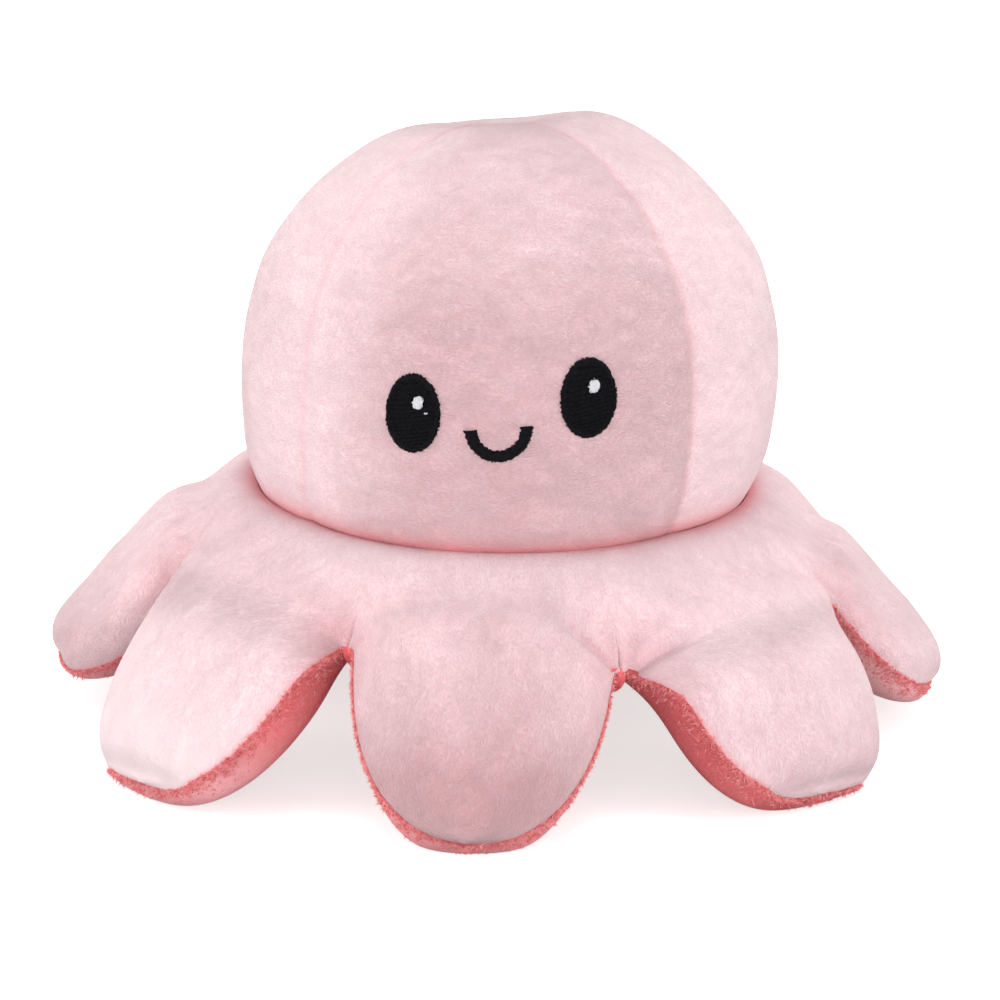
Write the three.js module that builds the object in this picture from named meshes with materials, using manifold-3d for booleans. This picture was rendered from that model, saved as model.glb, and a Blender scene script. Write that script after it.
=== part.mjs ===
import * as THREE from "three";
import { mergeVertices } from "three/addons/utils/BufferGeometryUtils.js";
import Module from "manifold-3d";

// A plush octopus that turns inside out: a round head over a skirt of eight stuffed tentacles.
// Millimetres, +Z up. The face looks along -Y and the tentacles stand on z = 0.

// Fabric, seams and clearances
const fabric = 1.2;
const seamGap = 0.3;
const hingeGap = 0.5;
const footCut = 0.5;

// The whole toy lies this far to the right of the ring of notches, so that its box is centred.
const centreShift = 2.535;
const centreShiftBack = 0.448;

// Head: an upper and a lower half that share one widest ring
const headRadius = 66.5;
const cheekHeight = 33;
const cheekDropShare = 1.5;
const crownRise = 57.5;
const crownPower = 2;
const cheekPower = 3.5;
const seamValleyShare = 0.032;
const crownDimpleDepth = 6;
const crownDimpleRadius = 18;
const crownBumpHeight = 4;
const crownBumpRadius = 22;
const crownBumpAside = 23;
const crownBumpBack = 8;
const crownOpening = 1.5;
const headShift = 1.4;
const leanShare = 0.025;

// Neck, where the head meets the skirt
const neckHeight = 57;
const neckTilt = 2;
const neckHump = 2;
const neckHumpReach = 6;

// Pocket inside the head: the head of the reverse side
const mouthRadius = 30;
const mouthHeight = 37;
const pocketRadius = 34;
const pocketShoulder = 21;
const pocketRise = 34;
const pocketPower = 2.2;

// Skirt: eight hinge lines between eight notches
const skirtWidth = 19.5;
const notchHeight = 37;
const notchRadiusShares = [1, 1.02, 1, 1, 1, 0.98, 0.945, 0.99];
const notchHeightShares = [0.92, 0.97, 1, 1.02, 1.02, 1.03, 1.08, 1.05];
const notchTurnShares = [0.05, 0.12, 0, 0, 0, 0, 0, 0.13];
const notchTuck = 4;
const skirtFall = 8;
const underFall = 10;
const fillSettle = 1;
const collarTopLean = THREE.MathUtils.degToRad(3);
const collarFillLean = THREE.MathUtils.degToRad(12);
const collarFillEnd = THREE.MathUtils.degToRad(105);
const collarLipLean = THREE.MathUtils.degToRad(114);
const collarLipEnd = THREE.MathUtils.degToRad(119);

// Tentacles: stuffed lobes that hang from the hinge lines
const armNames = [1, 2, 3, 4, 5, 6, 7, 8];
const armLength = 46;
const armLengthShares = [0.98, 0.94, 0.94, 1.009, 0.993, 1.03, 1.12, 1.12];
const armPinch = 6;
const armPinchShares = [0, 1, 0, 0, 0, 0, 0, 0];
const pinchEndShare = 0.25;
const kneeRadius = 12.5;
const tipTopDepth = 10;
const tipUnderDepth = 16;
const edgeGap = 3;
const outlinePower = 3;
const topEndPower = 3;
const underEndPower = 2.3;

// Embroidered face, measured along the head's surface
const threadHeight = 1;
const faceTurn = THREE.MathUtils.degToRad(2.9);
const faceTilt = THREE.MathUtils.degToRad(5.5);
const faceAbove = 1.9;
const eyeSpacing = 41;
const eyeWidth = 13.5;
const eyeHeight = 19.3;
const glintWidth = 2.9;
const glintHeight = 3.9;
const glintAside = 1.4;
const glintAbove = 2.7;
const mouthSpan = 12.6;
const mouthDrop = 6.2;
const mouthStroke = 2.4;
const mouthBelow = 4.3;

// Face of the reverse side, on the pocket's lining
const reverseFaceAbove = 4;
const reverseEyeSpacing = 22;
const reverseEyeSpan = 8;
const reverseEyeDrop = 3.2;
const reverseStroke = 1.8;
const reverseMouthSpan = 6;
const reverseMouthDrop = 2.4;
const reverseMouthBelow = 7;
const reverseSeat = 0.6;

// Facet counts
const armCount = armNames.length;
const acrossSteps = 8;
const lobeSteps = 7;
const kneeSteps = 3;
const socketSteps = 6;
const goreCount = 4;
const goreSteps = 8;
const headSteps = 9;
const pocketSteps = 6;
const skirtSteps = 3;
const patchRings = 3;
const patchSides = 16;
const strokeSteps = 10;
const settleRounds = 24;
const weldDistance = 1e-4;

const quarter = Math.PI / 2;
const armStep = (2 * Math.PI) / armCount;
const up = new THREE.Vector3(0, 0, 1);
const down = new THREE.Vector3(0, 0, -1);
const liningDepth = fabric + seamGap;
const headMidHeight = neckHeight + cheekHeight;
const cheekDrop = cheekHeight * cheekDropShare;
const pocketMidHeight = neckHeight + pocketShoulder;
const faceHeight = headMidHeight + faceAbove;
const reverseFaceHeight = pocketMidHeight + reverseFaceAbove;
const notchRadius = headRadius + skirtWidth;

const wasm = await Module();
wasm.setup();

const pinkPlush = { color: 0xf3d3d8, roughness: 0.95, metalness: 0 };
const coralPlush = { color: 0xe0707a, roughness: 0.95, metalness: 0 };
const fibrefill = { color: 0xf4f2ee, roughness: 1, metalness: 0 };
const blackThread = { color: 0x17181b, roughness: 0.6, metalness: 0 };
const paleThread = { color: 0xe9eaec, roughness: 0.6, metalness: 0 };

// Surfaces made of rows of points

function addTriangle(faces, a, b, c) {
  const area = new THREE.Triangle(a, b, c).getArea();
  if (area > 0 && a.distanceTo(b) * b.distanceTo(c) * c.distanceTo(a) > 0) {
    faces.push(a, b, c);
  }
}

function addQuad(faces, a, b, c, d) {
  addTriangle(faces, a, b, c);
  addTriangle(faces, a, c, d);
}

function addSheet(faces, rows, ring, turned) {
  for (let j = 0; j + 1 < rows.length; j += 1) {
    const columns = rows[j].length;
    const last = ring ? columns : columns - 1;
    for (let i = 0; i < last; i += 1) {
      const next = (i + 1) % columns;
      const corners = [rows[j][i], rows[j][next], rows[j + 1][next], rows[j + 1][i]];
      if (turned) corners.reverse();
      addQuad(faces, ...corners);
    }
  }
}

function addRim(faces, outer, inner, ring, forward) {
  const last = ring ? outer.length : outer.length - 1;
  for (let i = 0; i < last; i += 1) {
    const next = (i + 1) % outer.length;
    const corners = [outer[i], outer[next], inner[next], inner[i]];
    if (!forward) corners.reverse();
    addQuad(faces, ...corners);
  }
}

function toGeometry(faces) {
  const raw = new THREE.BufferGeometry().setFromPoints(faces);
  const merged = mergeVertices(raw, weldDistance);
  const index = [];
  for (let i = 0; i < merged.index.count; i += 3) {
    const [a, b, c] = [merged.index.getX(i), merged.index.getX(i + 1), merged.index.getX(i + 2)];
    if (a !== b && b !== c && c !== a) index.push(a, b, c);
  }
  merged.setIndex(index);
  return facingOut(merged);
}

function facingOut(geometry) {
  const position = geometry.attributes.position;
  const index = Array.from(geometry.index.array);
  const corner = (i) => new THREE.Vector3().fromBufferAttribute(position, index[i]);
  let volume = 0;
  for (let i = 0; i < index.length; i += 3) {
    volume += corner(i).dot(corner(i + 1).cross(corner(i + 2)));
  }
  if (volume < 0) index.reverse();
  geometry.setIndex(index);
  geometry.computeVertexNormals();
  return geometry;
}

// A solid between two sheets with the same rows. With ring set, each row closes on itself.
function solidBetween(outer, inner, ring = false) {
  const faces = [];
  addSheet(faces, outer, ring, false);
  addSheet(faces, inner, ring, true);
  addRim(faces, outer[0], inner[0], ring, false);
  addRim(faces, outer.at(-1), inner.at(-1), ring, true);
  if (!ring) {
    addRim(faces, outer.map((row) => row[0]), inner.map((row) => row[0]), false, true);
    addRim(faces, outer.map((row) => row.at(-1)), inner.map((row) => row.at(-1)), false, false);
  }
  return toGeometry(faces);
}

function toManifold(geometry) {
  const bare = geometry.clone();
  bare.deleteAttribute("normal");
  bare.deleteAttribute("uv");
  const merged = mergeVertices(bare, weldDistance);
  const mesh = new wasm.Mesh({
    numProp: 3,
    vertProperties: new Float32Array(merged.attributes.position.array),
    triVerts: new Uint32Array(merged.index.array),
  });
  return new wasm.Manifold(mesh);
}

function fromManifold(solid) {
  const mesh = solid.getMesh();
  const geometry = new THREE.BufferGeometry();
  const position = new THREE.BufferAttribute(new Float32Array(mesh.vertProperties), mesh.numProp);
  geometry.setAttribute("position", position);
  geometry.setIndex(new THREE.BufferAttribute(new Uint32Array(mesh.triVerts), 1));
  geometry.computeVertexNormals();
  return geometry;
}

function mix(a, b, t) {
  return a + (b - a) * t;
}

// A cosine that is exactly zero at a right angle, so that poles stay single points
function cosine(angle) {
  const value = Math.cos(angle);
  return Math.abs(value) < Number.EPSILON ? 0 : value;
}

function spaced(steps) {
  return Array.from({ length: steps + 1 }, (unused, i) => i / steps);
}

// Head

function neckHeightAt(angle) {
  return neckHeight + neckTilt * Math.sin(angle);
}

function seamValley(angle) {
  const fromSeam = Math.abs((((angle % quarter) + quarter) % quarter) - quarter / 2);
  const share = Math.min(1, (quarter / 2 - fromSeam) / (quarter / 2));
  return 1 - seamValleyShare * (1 - share) ** 2;
}

// The angle that seams are counted from: they lie halfway between the face, the sides and the back.
function seamAngle(angle) {
  return angle - quarter / 2;
}

function leaning(point) {
  point.x += headShift + leanShare * Math.max(0, point.z - neckHeight);
  return point;
}

function crownDimple(radius) {
  return crownDimpleDepth * Math.exp(-((radius / crownDimpleRadius) ** 2));
}

// The stuffing swells the gore at the back, to the right of the crown.
function crownBump(point) {
  const away = Math.hypot(point.x - crownBumpAside, point.y - crownBumpBack);
  return crownBumpHeight * Math.exp(-((away / crownBumpRadius) ** 2));
}

function headPoint(angle, tilt, inset) {
  const power = tilt > 0 ? 2 / crownPower : 2 / cheekPower;
  const rise = (tilt > 0 ? crownRise : cheekDrop) - inset;
  const radius = (headRadius - inset) * cosine(tilt) ** power * seamValley(seamAngle(angle));
  const lift = Math.sign(tilt) * rise * Math.abs(Math.sin(tilt)) ** power;
  const point = new THREE.Vector3(radius * Math.cos(angle), radius * Math.sin(angle), 0);
  point.z = headMidHeight + lift;
  if (tilt > 0) point.z += crownBump(point) - crownDimple(radius);
  return leaning(point);
}

function headTiltAt(height, inset) {
  const lift = height - headMidHeight;
  const power = lift > 0 ? crownPower / 2 : cheekPower / 2;
  const rise = (lift > 0 ? crownRise : cheekDrop) - inset;
  return Math.sign(lift) * Math.asin((Math.abs(lift) / rise) ** power);
}

function headRows(angles, inset, topTilt, bottomOffset) {
  return spaced(headSteps).map((share) =>
    angles.map((angle) => {
      const bottom = headTiltAt(neckHeightAt(angle) + bottomOffset, inset);
      return headPoint(angle, mix(bottom, topTilt, share), inset);
    }),
  );
}

// Angles across one gore
function goreAngles(gore, radius) {
  const middle = gore * quarter;
  const half = quarter / 2 - seamGap / 2 / radius;
  return spaced(goreSteps).map((share) => middle + half * (2 * share - 1));
}

function ringAngles() {
  const angles = [];
  for (let gore = 0; gore < goreCount; gore += 1) {
    angles.push(...goreAngles(gore, Infinity).slice(0, goreSteps));
  }
  return angles;
}

function headPanel(gore) {
  const topTilt = quarter - Math.asin(crownOpening / headRadius);
  const rows = (inset) => headRows(goreAngles(gore, headRadius / 2), inset, topTilt, seamGap);
  return solidBetween(rows(0), rows(fabric));
}

// Pocket: the lining's rows run from the mouth up to its crown

function pocketPoint(angle, share, inset) {
  const turn = quarter * share;
  const radius = (pocketRadius + inset) * cosine(turn) ** (2 / pocketPower);
  const point = new THREE.Vector3(radius * Math.cos(angle), radius * Math.sin(angle), 0);
  point.z = pocketMidHeight + (pocketRise + inset) * Math.sin(turn) ** (2 / pocketPower);
  return leaning(point);
}

function throatPoint(angle, height, inset) {
  const share = THREE.MathUtils.smoothstep(height, mouthHeight, pocketMidHeight);
  const radius = mix(mouthRadius, pocketRadius, share) + inset;
  return leaning(new THREE.Vector3(radius * Math.cos(angle), radius * Math.sin(angle), height));
}

function pocketRows(angles, inset, bottomAt, topShare) {
  const heightsAt = (angle) => {
    const neck = neckHeightAt(angle) + seamGap;
    return [bottomAt(angle), neck, mix(neck, pocketMidHeight, 0.5), pocketMidHeight];
  };
  const throat = [0, 1, 2, 3].map((row) =>
    angles.map((angle) => throatPoint(angle, heightsAt(angle)[row], inset)),
  );
  const crown = spaced(pocketSteps)
    .slice(1)
    .map((share) => angles.map((angle) => pocketPoint(angle, share * topShare, inset)));
  return [...throat, ...crown];
}

function liningPanel(gore) {
  const topShare = 1 - (2 / Math.PI) * Math.asin(crownOpening / pocketRadius);
  const angles = goreAngles(gore, pocketRadius / 2);
  const rows = (inset) => pocketRows(angles, inset, () => mouthHeight, topShare);
  return solidBetween(rows(fabric), rows(0));
}

function headFilling() {
  const angles = ringAngles();
  const outside = headRows(angles, liningDepth, quarter, seamGap).reverse();
  const inside = pocketRows(angles, liningDepth, neckHeightAt, 1).slice(1);
  const faces = [];
  addSheet(faces, [...outside, ...inside], true, false);
  return toGeometry(faces);
}

// Embroidery: patches and strokes that lie on a surface given by height and way round

function onHead(aside, above, inset) {
  const angle = -quarter + faceTurn + aside / headRadius;
  return headPoint(angle, headTiltAt(faceHeight + above, 0), inset);
}

function onLining(aside, above, inset) {
  const angle = -quarter + aside / pocketRadius;
  const height = reverseFaceHeight + above;
  if (height < pocketMidHeight) return throatPoint(angle, height, inset);
  const lift = (height - pocketMidHeight) / pocketRise;
  const share = Math.asin(lift ** (pocketPower / 2)) / quarter;
  return pocketPoint(angle, share, inset).setZ(height);
}

function tilted(aside, above) {
  const turned = new THREE.Vector2(aside, above).rotateAround(new THREE.Vector2(), faceTilt);
  return [turned.x, turned.y];
}

function patch(surface, place, width, height, base, top) {
  const rows = (inset) =>
    spaced(patchRings).map((share) =>
      Array.from({ length: patchSides }, (unused, i) => {
        const turn = (i / patchSides) * 2 * Math.PI;
        const aside = place[0] + (width / 2) * share * Math.cos(turn);
        const above = place[1] + (height / 2) * share * Math.sin(turn);
        return surface(aside, above, inset);
      }),
    );
  return solidBetween(rows(top), rows(base), true);
}

// A stroke that sags by drop below the line between its two ends
function stroke(surface, place, span, drop, width, base, top, turn = tilted) {
  const rows = (inset) =>
    spaced(strokeSteps).map((share) => {
      const bend = (share - 0.5) * Math.PI;
      const along = new THREE.Vector2(Math.sin(bend) * (span / 2), -Math.cos(bend) * drop);
      const side = new THREE.Vector2(Math.sin(bend) / span, -Math.cos(bend) / (2 * drop)).normalize();
      return [-1, 0, 1].map((edge) => {
        const [aside, above] = turn(
          along.x + (side.x * edge * width) / 2,
          along.y + (side.y * edge * width) / 2,
        );
        return surface(place[0] + aside, place[1] + above, inset);
      });
    });
  return solidBetween(rows(top), rows(base));
}

// Skirt: a frame for each tentacle, from the two notches beside it

function notchPoint(index) {
  const place = (index + armCount) % armCount;
  const turnShare = 0.5 + 0.5 * notchTurnShares[place];
  const angle = -quarter + armStep * (place + turnShare);
  const radius = notchRadius * notchRadiusShares[place];
  const height = notchHeight * notchHeightShares[place];
  return new THREE.Vector3(radius * Math.cos(angle), radius * Math.sin(angle), height);
}

function armFrame(index) {
  const far = notchPoint(index);
  const near = notchPoint(index - 1);
  const axis = far.clone().sub(near).normalize();
  const outward = axis.clone().cross(up).normalize();
  const rise = outward.clone().cross(axis);
  const middle = near.clone().add(far).multiplyScalar(0.5);
  const halfWidth = near.distanceTo(far) / 2;
  const length = armLength * armLengthShares[index];
  const pinch = armPinch * armPinchShares[index];
  return { middle, axis, outward, rise, halfWidth, length, pinch, slope: 0 };
}

function framePoint(arm, across, out, lift) {
  return arm.middle
    .clone()
    .addScaledVector(arm.axis, across)
    .addScaledVector(arm.outward, out)
    .addScaledVector(arm.rise, lift);
}

// A point on the round knee about the hinge line: lean is 0 straight up and grows towards the body.
function kneePoint(arm, across, lean, radius, halfWidth) {
  const reach = radius * cosine(across);
  return framePoint(
    arm,
    halfWidth * Math.sin(across),
    -Math.sin(lean) * reach,
    Math.cos(lean) * reach,
  );
}

// A point on the lobe beyond the knee: share is 0 at the hinge line and 1 at the tip.
function lobePoint(arm, across, share, side, inset) {
  const endPower = side > 0 ? topEndPower : underEndPower;
  const tipDepth = side > 0 ? tipTopDepth : tipUnderDepth;
  const pinch = (arm.pinch / 2) * THREE.MathUtils.smoothstep(share, 0, pinchEndShare);
  const outline = (1 - share ** outlinePower) ** (1 / outlinePower);
  const width = (arm.halfWidth - edgeGap - pinch - inset) * outline;
  const swell = (mix(kneeRadius, tipDepth, share) - inset) * (1 - share ** endPower) ** (1 / endPower);
  const along = (arm.length - inset) * share;
  const over = side * swell * cosine(across);
  const out = along * Math.cos(arm.slope) + over * Math.sin(arm.slope);
  const lift = over * Math.cos(arm.slope) - along * Math.sin(arm.slope);
  return framePoint(arm, width * Math.sin(across) + pinch, out, lift);
}

function acrossAngles() {
  return spaced(acrossSteps).map((share) => (share - 0.5) * Math.PI);
}

// Shares along the lobe, closer together towards the tip
function lobeShares() {
  return spaced(lobeSteps).map((share) => Math.sin(share * quarter));
}

function lobeRows(arm, side, inset) {
  return lobeShares().map((share) =>
    acrossAngles().map((across) => lobePoint(arm, across, share, side, inset)),
  );
}

function kneeRows(arm, fromLean, toLean, inset, steps) {
  const halfWidth = arm.halfWidth - edgeGap - inset;
  return spaced(steps)
    .slice(0, steps)
    .map((share) =>
      acrossAngles().map((across) =>
        kneePoint(arm, across, mix(fromLean, toLean, share), kneeRadius - inset, halfWidth),
      ),
    );
}

// Sets the lobe's slope so that its underside dips under the floor by the foot cut.
function settle(arm) {
  let low = 0;
  let high = quarter;
  for (let round = 0; round < settleRounds; round += 1) {
    arm.slope = (low + high) / 2;
    const lowest = Math.min(...lobeRows(arm, -1, 0).flat().map((point) => point.z));
    if (lowest > -footCut) low = arm.slope;
    else high = arm.slope;
  }
  return arm;
}

function moved(rows, shift) {
  return rows.map((row) => row.map((point) => point.clone().add(shift)));
}

// Half of the seam gap, square to the plane of the lobe's seam
function seamShift(arm, side) {
  return new THREE.Vector3()
    .addScaledVector(arm.outward, Math.sin(arm.slope))
    .addScaledVector(arm.rise, Math.cos(arm.slope))
    .multiplyScalar((side * seamGap) / 2);
}

function tentacleTop(arm) {
  const rows = (inset) => [
    ...kneeRows(arm, 0, -arm.slope, inset, kneeSteps),
    ...lobeRows(arm, 1, inset),
  ];
  const shift = seamShift(arm, 1);
  return solidBetween(moved(rows(0), shift), moved(rows(fabric), shift));
}

function tentacleUnderside(arm, floor) {
  const shift = seamShift(arm, -1);
  const outer = moved(lobeRows(arm, -1, 0), shift);
  const inner = moved(lobeRows(arm, -1, fabric), shift);
  const whole = toManifold(solidBetween(outer, inner));
  return fromManifold(whole.subtract(floor));
}

function tentacleFilling(arm) {
  const middleLean = quarter - arm.slope;
  const top = [
    ...kneeRows(arm, middleLean, -arm.slope, liningDepth, kneeSteps),
    ...lobeRows(arm, 1, liningDepth),
  ];
  const under = [
    ...kneeRows(arm, middleLean, 2 * quarter - arm.slope, liningDepth, kneeSteps),
    ...lobeRows(arm, -1, liningDepth),
  ];
  return solidBetween(top, under);
}

// The ring of fabric and stuffing between the neck, the pocket's mouth and the hinge lines

function bezier(a, b, c, d, share) {
  const curve = new THREE.CubicBezierCurve3(a, b, c, d);
  return curve.getPoint(share);
}

function collarStations(arms) {
  const stations = [];
  arms.forEach((arm) => {
    acrossAngles()
      .slice(0, acrossSteps)
      .forEach((across) => {
        const onLine = framePoint(arm, arm.halfWidth * Math.sin(across), 0, 0);
        const angle = Math.atan2(onLine.y, onLine.x - headShift);
        stations.push({ arm, across, angle, onLine });
      });
  });
  return stations;
}

function neckPoint(station, radius, height) {
  const { angle } = station;
  const x = headShift + radius * Math.cos(angle);
  return new THREE.Vector3(x, radius * Math.sin(angle), height);
}

function neckRadiusAt(angle) {
  const rim = headPoint(angle, headTiltAt(neckHeightAt(angle), 0), 0);
  return Math.hypot(rim.x - headShift, rim.y);
}

function socketPoint(station, lean, extra) {
  const radius = kneeRadius * cosine(station.across) + hingeGap + extra;
  return station.onLine
    .clone()
    .addScaledVector(station.arm.outward, -Math.sin(lean) * radius)
    .addScaledVector(station.arm.rise, Math.cos(lean) * radius);
}

function skirtTopPoint(station, share, inset) {
  const height = neckHeightAt(station.angle) - inset;
  const start = neckPoint(station, neckRadiusAt(station.angle), height);
  const end = socketPoint(station, collarTopLean, fabric - inset);
  const inward = start.clone().sub(end).setZ(0).normalize();
  const hump = start.clone().addScaledVector(inward, -neckHumpReach).addScaledVector(up, neckHump);
  const fall = end.clone().addScaledVector(inward, skirtFall).addScaledVector(up, skirtFall / 2);
  return bezier(start, hump, fall, end, share);
}

function skirtUnderPoint(station, share, inset, lean) {
  const start = neckPoint(station, mouthRadius + liningDepth, mouthHeight + inset);
  const end = socketPoint(station, lean, seamGap);
  const inward = start.clone().sub(end).setZ(0).normalize();
  const first = start.clone().addScaledVector(inward, -underFall);
  const last = end.clone().addScaledVector(inward, underFall);
  return bezier(start, first, last, end, share);
}

function collarRows(stations, pointAt) {
  return spaced(skirtSteps).map((share) => stations.map((station) => pointAt(station, share)));
}

function collarTop(stations) {
  const outer = collarRows(stations, (station, share) => skirtTopPoint(station, share, 0));
  const inner = collarRows(stations, (station, share) => skirtTopPoint(station, share, fabric));
  return solidBetween(outer, inner, true);
}

function collarUnderside(stations) {
  const outer = collarRows(stations, (station, share) =>
    skirtUnderPoint(station, share, 0, collarLipEnd),
  );
  const inner = collarRows(stations, (station, share) =>
    skirtUnderPoint(station, share, fabric, collarLipLean),
  );
  return solidBetween(outer, inner, true);
}

function collarFilling(stations) {
  const atNotch = (station) => Math.abs(station.across) > quarter - armStep / acrossSteps;
  const tuck = (station) => {
    const above = skirtTopPoint(station, 1, fabric);
    const below = skirtUnderPoint(station, 1, fabric, collarLipLean);
    const inward = neckPoint(station, 0, 0).sub(above).setZ(0).normalize();
    return above.add(below).multiplyScalar(0.5).addScaledVector(inward, notchTuck);
  };
  const place = (station, point) => (atNotch(station) ? tuck(station) : point);
  const topRows = collarRows(stations, (station, share) =>
    skirtTopPoint(station, share, liningDepth).addScaledVector(down, fillSettle),
  ).slice(0, skirtSteps);
  const socketRows = spaced(socketSteps).map((share) =>
    stations.map((station) => {
      const lean = mix(collarFillLean, collarFillEnd, share);
      return place(station, socketPoint(station, lean, 0));
    }),
  );
  const underRows = collarRows(stations, (station, share) =>
    skirtUnderPoint(station, share, liningDepth, collarLipLean).addScaledVector(up, seamGap),
  )
    .slice(0, skirtSteps)
    .reverse();
  const wallRow = stations.map((station) => {
    const height = neckHeightAt(station.angle) - liningDepth - fillSettle;
    return throatPoint(station.angle, height, liningDepth);
  });
  const rows = [...topRows, ...socketRows, ...underRows, wallRow];
  const faces = [];
  addSheet(faces, [...rows, rows[0]], true, false);
  return toGeometry(faces);
}

// Assembly

const octopus = new THREE.Group();

function addPart(name, geometry, finish) {
  const part = new THREE.Mesh(geometry, new THREE.MeshStandardMaterial(finish));
  geometry.translate(centreShift, centreShiftBack, 0);
  part.name = name;
  octopus.add(part);
}

function floorBlock() {
  const side = 4 * (notchRadius + armLength);
  const block = new THREE.BoxGeometry(side, side, side);
  block.translate(0, 0, -side / 2);
  return toManifold(block);
}

function addHead() {
  const sides = ["right", "back", "left", "front"];
  sides.forEach((side, gore) => {
    addPart(`head_panel_${side}`, headPanel(gore), pinkPlush);
    addPart(`lining_panel_${side}`, liningPanel(gore), coralPlush);
  });
  addPart("head_filling", headFilling(), fibrefill);
}

function addFace() {
  const threadBase = -seamGap;
  const threadTop = threadBase - threadHeight;
  const glintBase = threadTop - seamGap;
  const glintTop = glintBase - threadHeight / 2;
  const eyes = { left: -1, right: 1 };
  Object.entries(eyes).forEach(([side, sign]) => {
    const place = tilted((sign * eyeSpacing) / 2, 0);
    const glint = [place[0] + glintAside, place[1] + glintAbove];
    addPart(`eye_${side}`, patch(onHead, place, eyeWidth, eyeHeight, threadBase, threadTop), blackThread);
    const shine = patch(onHead, glint, glintWidth, glintHeight, glintBase, glintTop);
    addPart(`eye_glint_${side}`, shine, paleThread);
  });
  const below = tilted(0, -mouthBelow);
  const smile = stroke(onHead, below, mouthSpan, mouthDrop, mouthStroke, threadBase, threadTop);
  addPart("mouth", smile, blackThread);
}

function addReverseFace() {
  const threadBase = -reverseSeat;
  const threadTop = threadBase - threadHeight;
  const level = (aside, above) => [aside, above];
  const eyes = { left: 1, right: -1 };
  Object.entries(eyes).forEach(([side, sign]) => {
    const place = [(sign * reverseEyeSpacing) / 2, 0];
    const lid = stroke(
      onLining, place, reverseEyeSpan, reverseEyeDrop, reverseStroke, threadBase, threadTop, level,
    );
    addPart(`reverse_eye_${side}`, lid, blackThread);
  });
  const smile = stroke(
    onLining, [0, -reverseMouthBelow], reverseMouthSpan, reverseMouthDrop, reverseStroke,
    threadBase, threadTop, level,
  );
  addPart("reverse_mouth", smile, blackThread);
}

function addSkirt() {
  const arms = armNames.map((name, index) => settle(armFrame(index)));
  const stations = collarStations(arms);
  addPart("collar_top", collarTop(stations), pinkPlush);
  addPart("collar_underside", collarUnderside(stations), coralPlush);
  addPart("collar_filling", collarFilling(stations), fibrefill);
  const floor = floorBlock();
  arms.forEach((arm, index) => {
    const name = armNames[index];
    addPart(`tentacle_top_${name}`, tentacleTop(arm), pinkPlush);
    addPart(`tentacle_underside_${name}`, tentacleUnderside(arm, floor), coralPlush);
    addPart(`tentacle_filling_${name}`, tentacleFilling(arm), fibrefill);
  });
}

addHead();
addFace();
addReverseFace();
addSkirt();

export default octopus;
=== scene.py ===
import math

import bmesh
import bpy
import numpy as np
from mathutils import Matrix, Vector


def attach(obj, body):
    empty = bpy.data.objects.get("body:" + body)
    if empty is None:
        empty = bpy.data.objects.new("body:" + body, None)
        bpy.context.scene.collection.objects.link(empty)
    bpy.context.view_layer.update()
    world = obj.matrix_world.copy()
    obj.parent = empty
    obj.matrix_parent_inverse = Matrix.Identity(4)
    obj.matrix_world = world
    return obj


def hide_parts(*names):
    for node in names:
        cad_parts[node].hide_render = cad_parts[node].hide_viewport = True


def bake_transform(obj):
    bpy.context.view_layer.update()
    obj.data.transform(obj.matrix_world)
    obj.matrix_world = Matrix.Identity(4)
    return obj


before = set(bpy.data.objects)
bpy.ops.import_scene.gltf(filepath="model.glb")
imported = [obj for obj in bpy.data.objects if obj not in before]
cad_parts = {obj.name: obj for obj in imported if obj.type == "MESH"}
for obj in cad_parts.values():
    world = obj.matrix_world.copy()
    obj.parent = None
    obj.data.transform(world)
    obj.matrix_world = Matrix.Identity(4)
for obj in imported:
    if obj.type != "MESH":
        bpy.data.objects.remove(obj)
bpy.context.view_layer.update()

# Studio: a white sweep of paper under the toy, soft lamps from the left, the right, above and
# in front, and a camera a little above the face. None of it is part of the toy.
camera_turn = math.radians(4.5)
camera_rise = math.radians(15.85)
camera_distance = 0.9716
camera_target = np.array([0.0029, 0.00045, 0.052])
camera_lens = 141.6
camera_sensor = 36
lamp_target = (0, 0, 0.07)
softboxes = (
    ("left_lamp", (-1.1, -0.5, 0.3), 0.8, 6.7, (1.0, 0.99, 0.98)),
    ("right_lamp", (1.1, -0.45, 0.25), 0.9, 5.8, (1.0, 0.99, 0.99)),
    ("top_lamp", (0.05, 0.25, 1.3), 0.9, 12.0, (1.0, 1.0, 1.0)),
    ("front_lamp", (0.05, -1.3, 0.12), 0.9, 6.5, (1.0, 1.0, 1.0)),
)
room_colour = (1.0, 0.88, 0.895, 1)
room_strength = 0.47
plain_white = (1, 1, 1, 1)
paper_colour = (0.93, 0.93, 0.93, 1)
paper_lift = 0.66
paper_half_side = 3.0


def aim(thing, place, target):
    """Puts a lamp or camera at a place and turns it to look at the target."""
    thing.location = Vector(place)
    thing.rotation_euler = (Vector(target) - Vector(place)).to_track_quat("-Z", "Y").to_euler()


def placed(name, data):
    """A new object in the scene."""
    thing = bpy.data.objects.new(name, data)
    bpy.context.collection.objects.link(thing)
    return thing


def feed(tree, node, inputs):
    """Sets a node's inputs: each is a value, or the socket that feeds it."""
    for name, value in inputs.items():
        if isinstance(value, bpy.types.NodeSocket):
            tree.links.new(value, node.inputs[name])
        else:
            node.inputs[name].default_value = value


def wire(tree, kind, inputs=None, **choices):
    """Adds a node with its choices and its inputs, and gives its outputs."""
    node = tree.nodes.new(kind)
    for name, value in choices.items():
        setattr(node, name, value)
    feed(tree, node, inputs or {})
    return node.outputs


def new_material(name):
    """A new material, with its node tree and its shader."""
    material = bpy.data.materials.new(name)
    material.use_nodes = True
    return material, material.node_tree, material.node_tree.nodes["Principled BSDF"]


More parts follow.
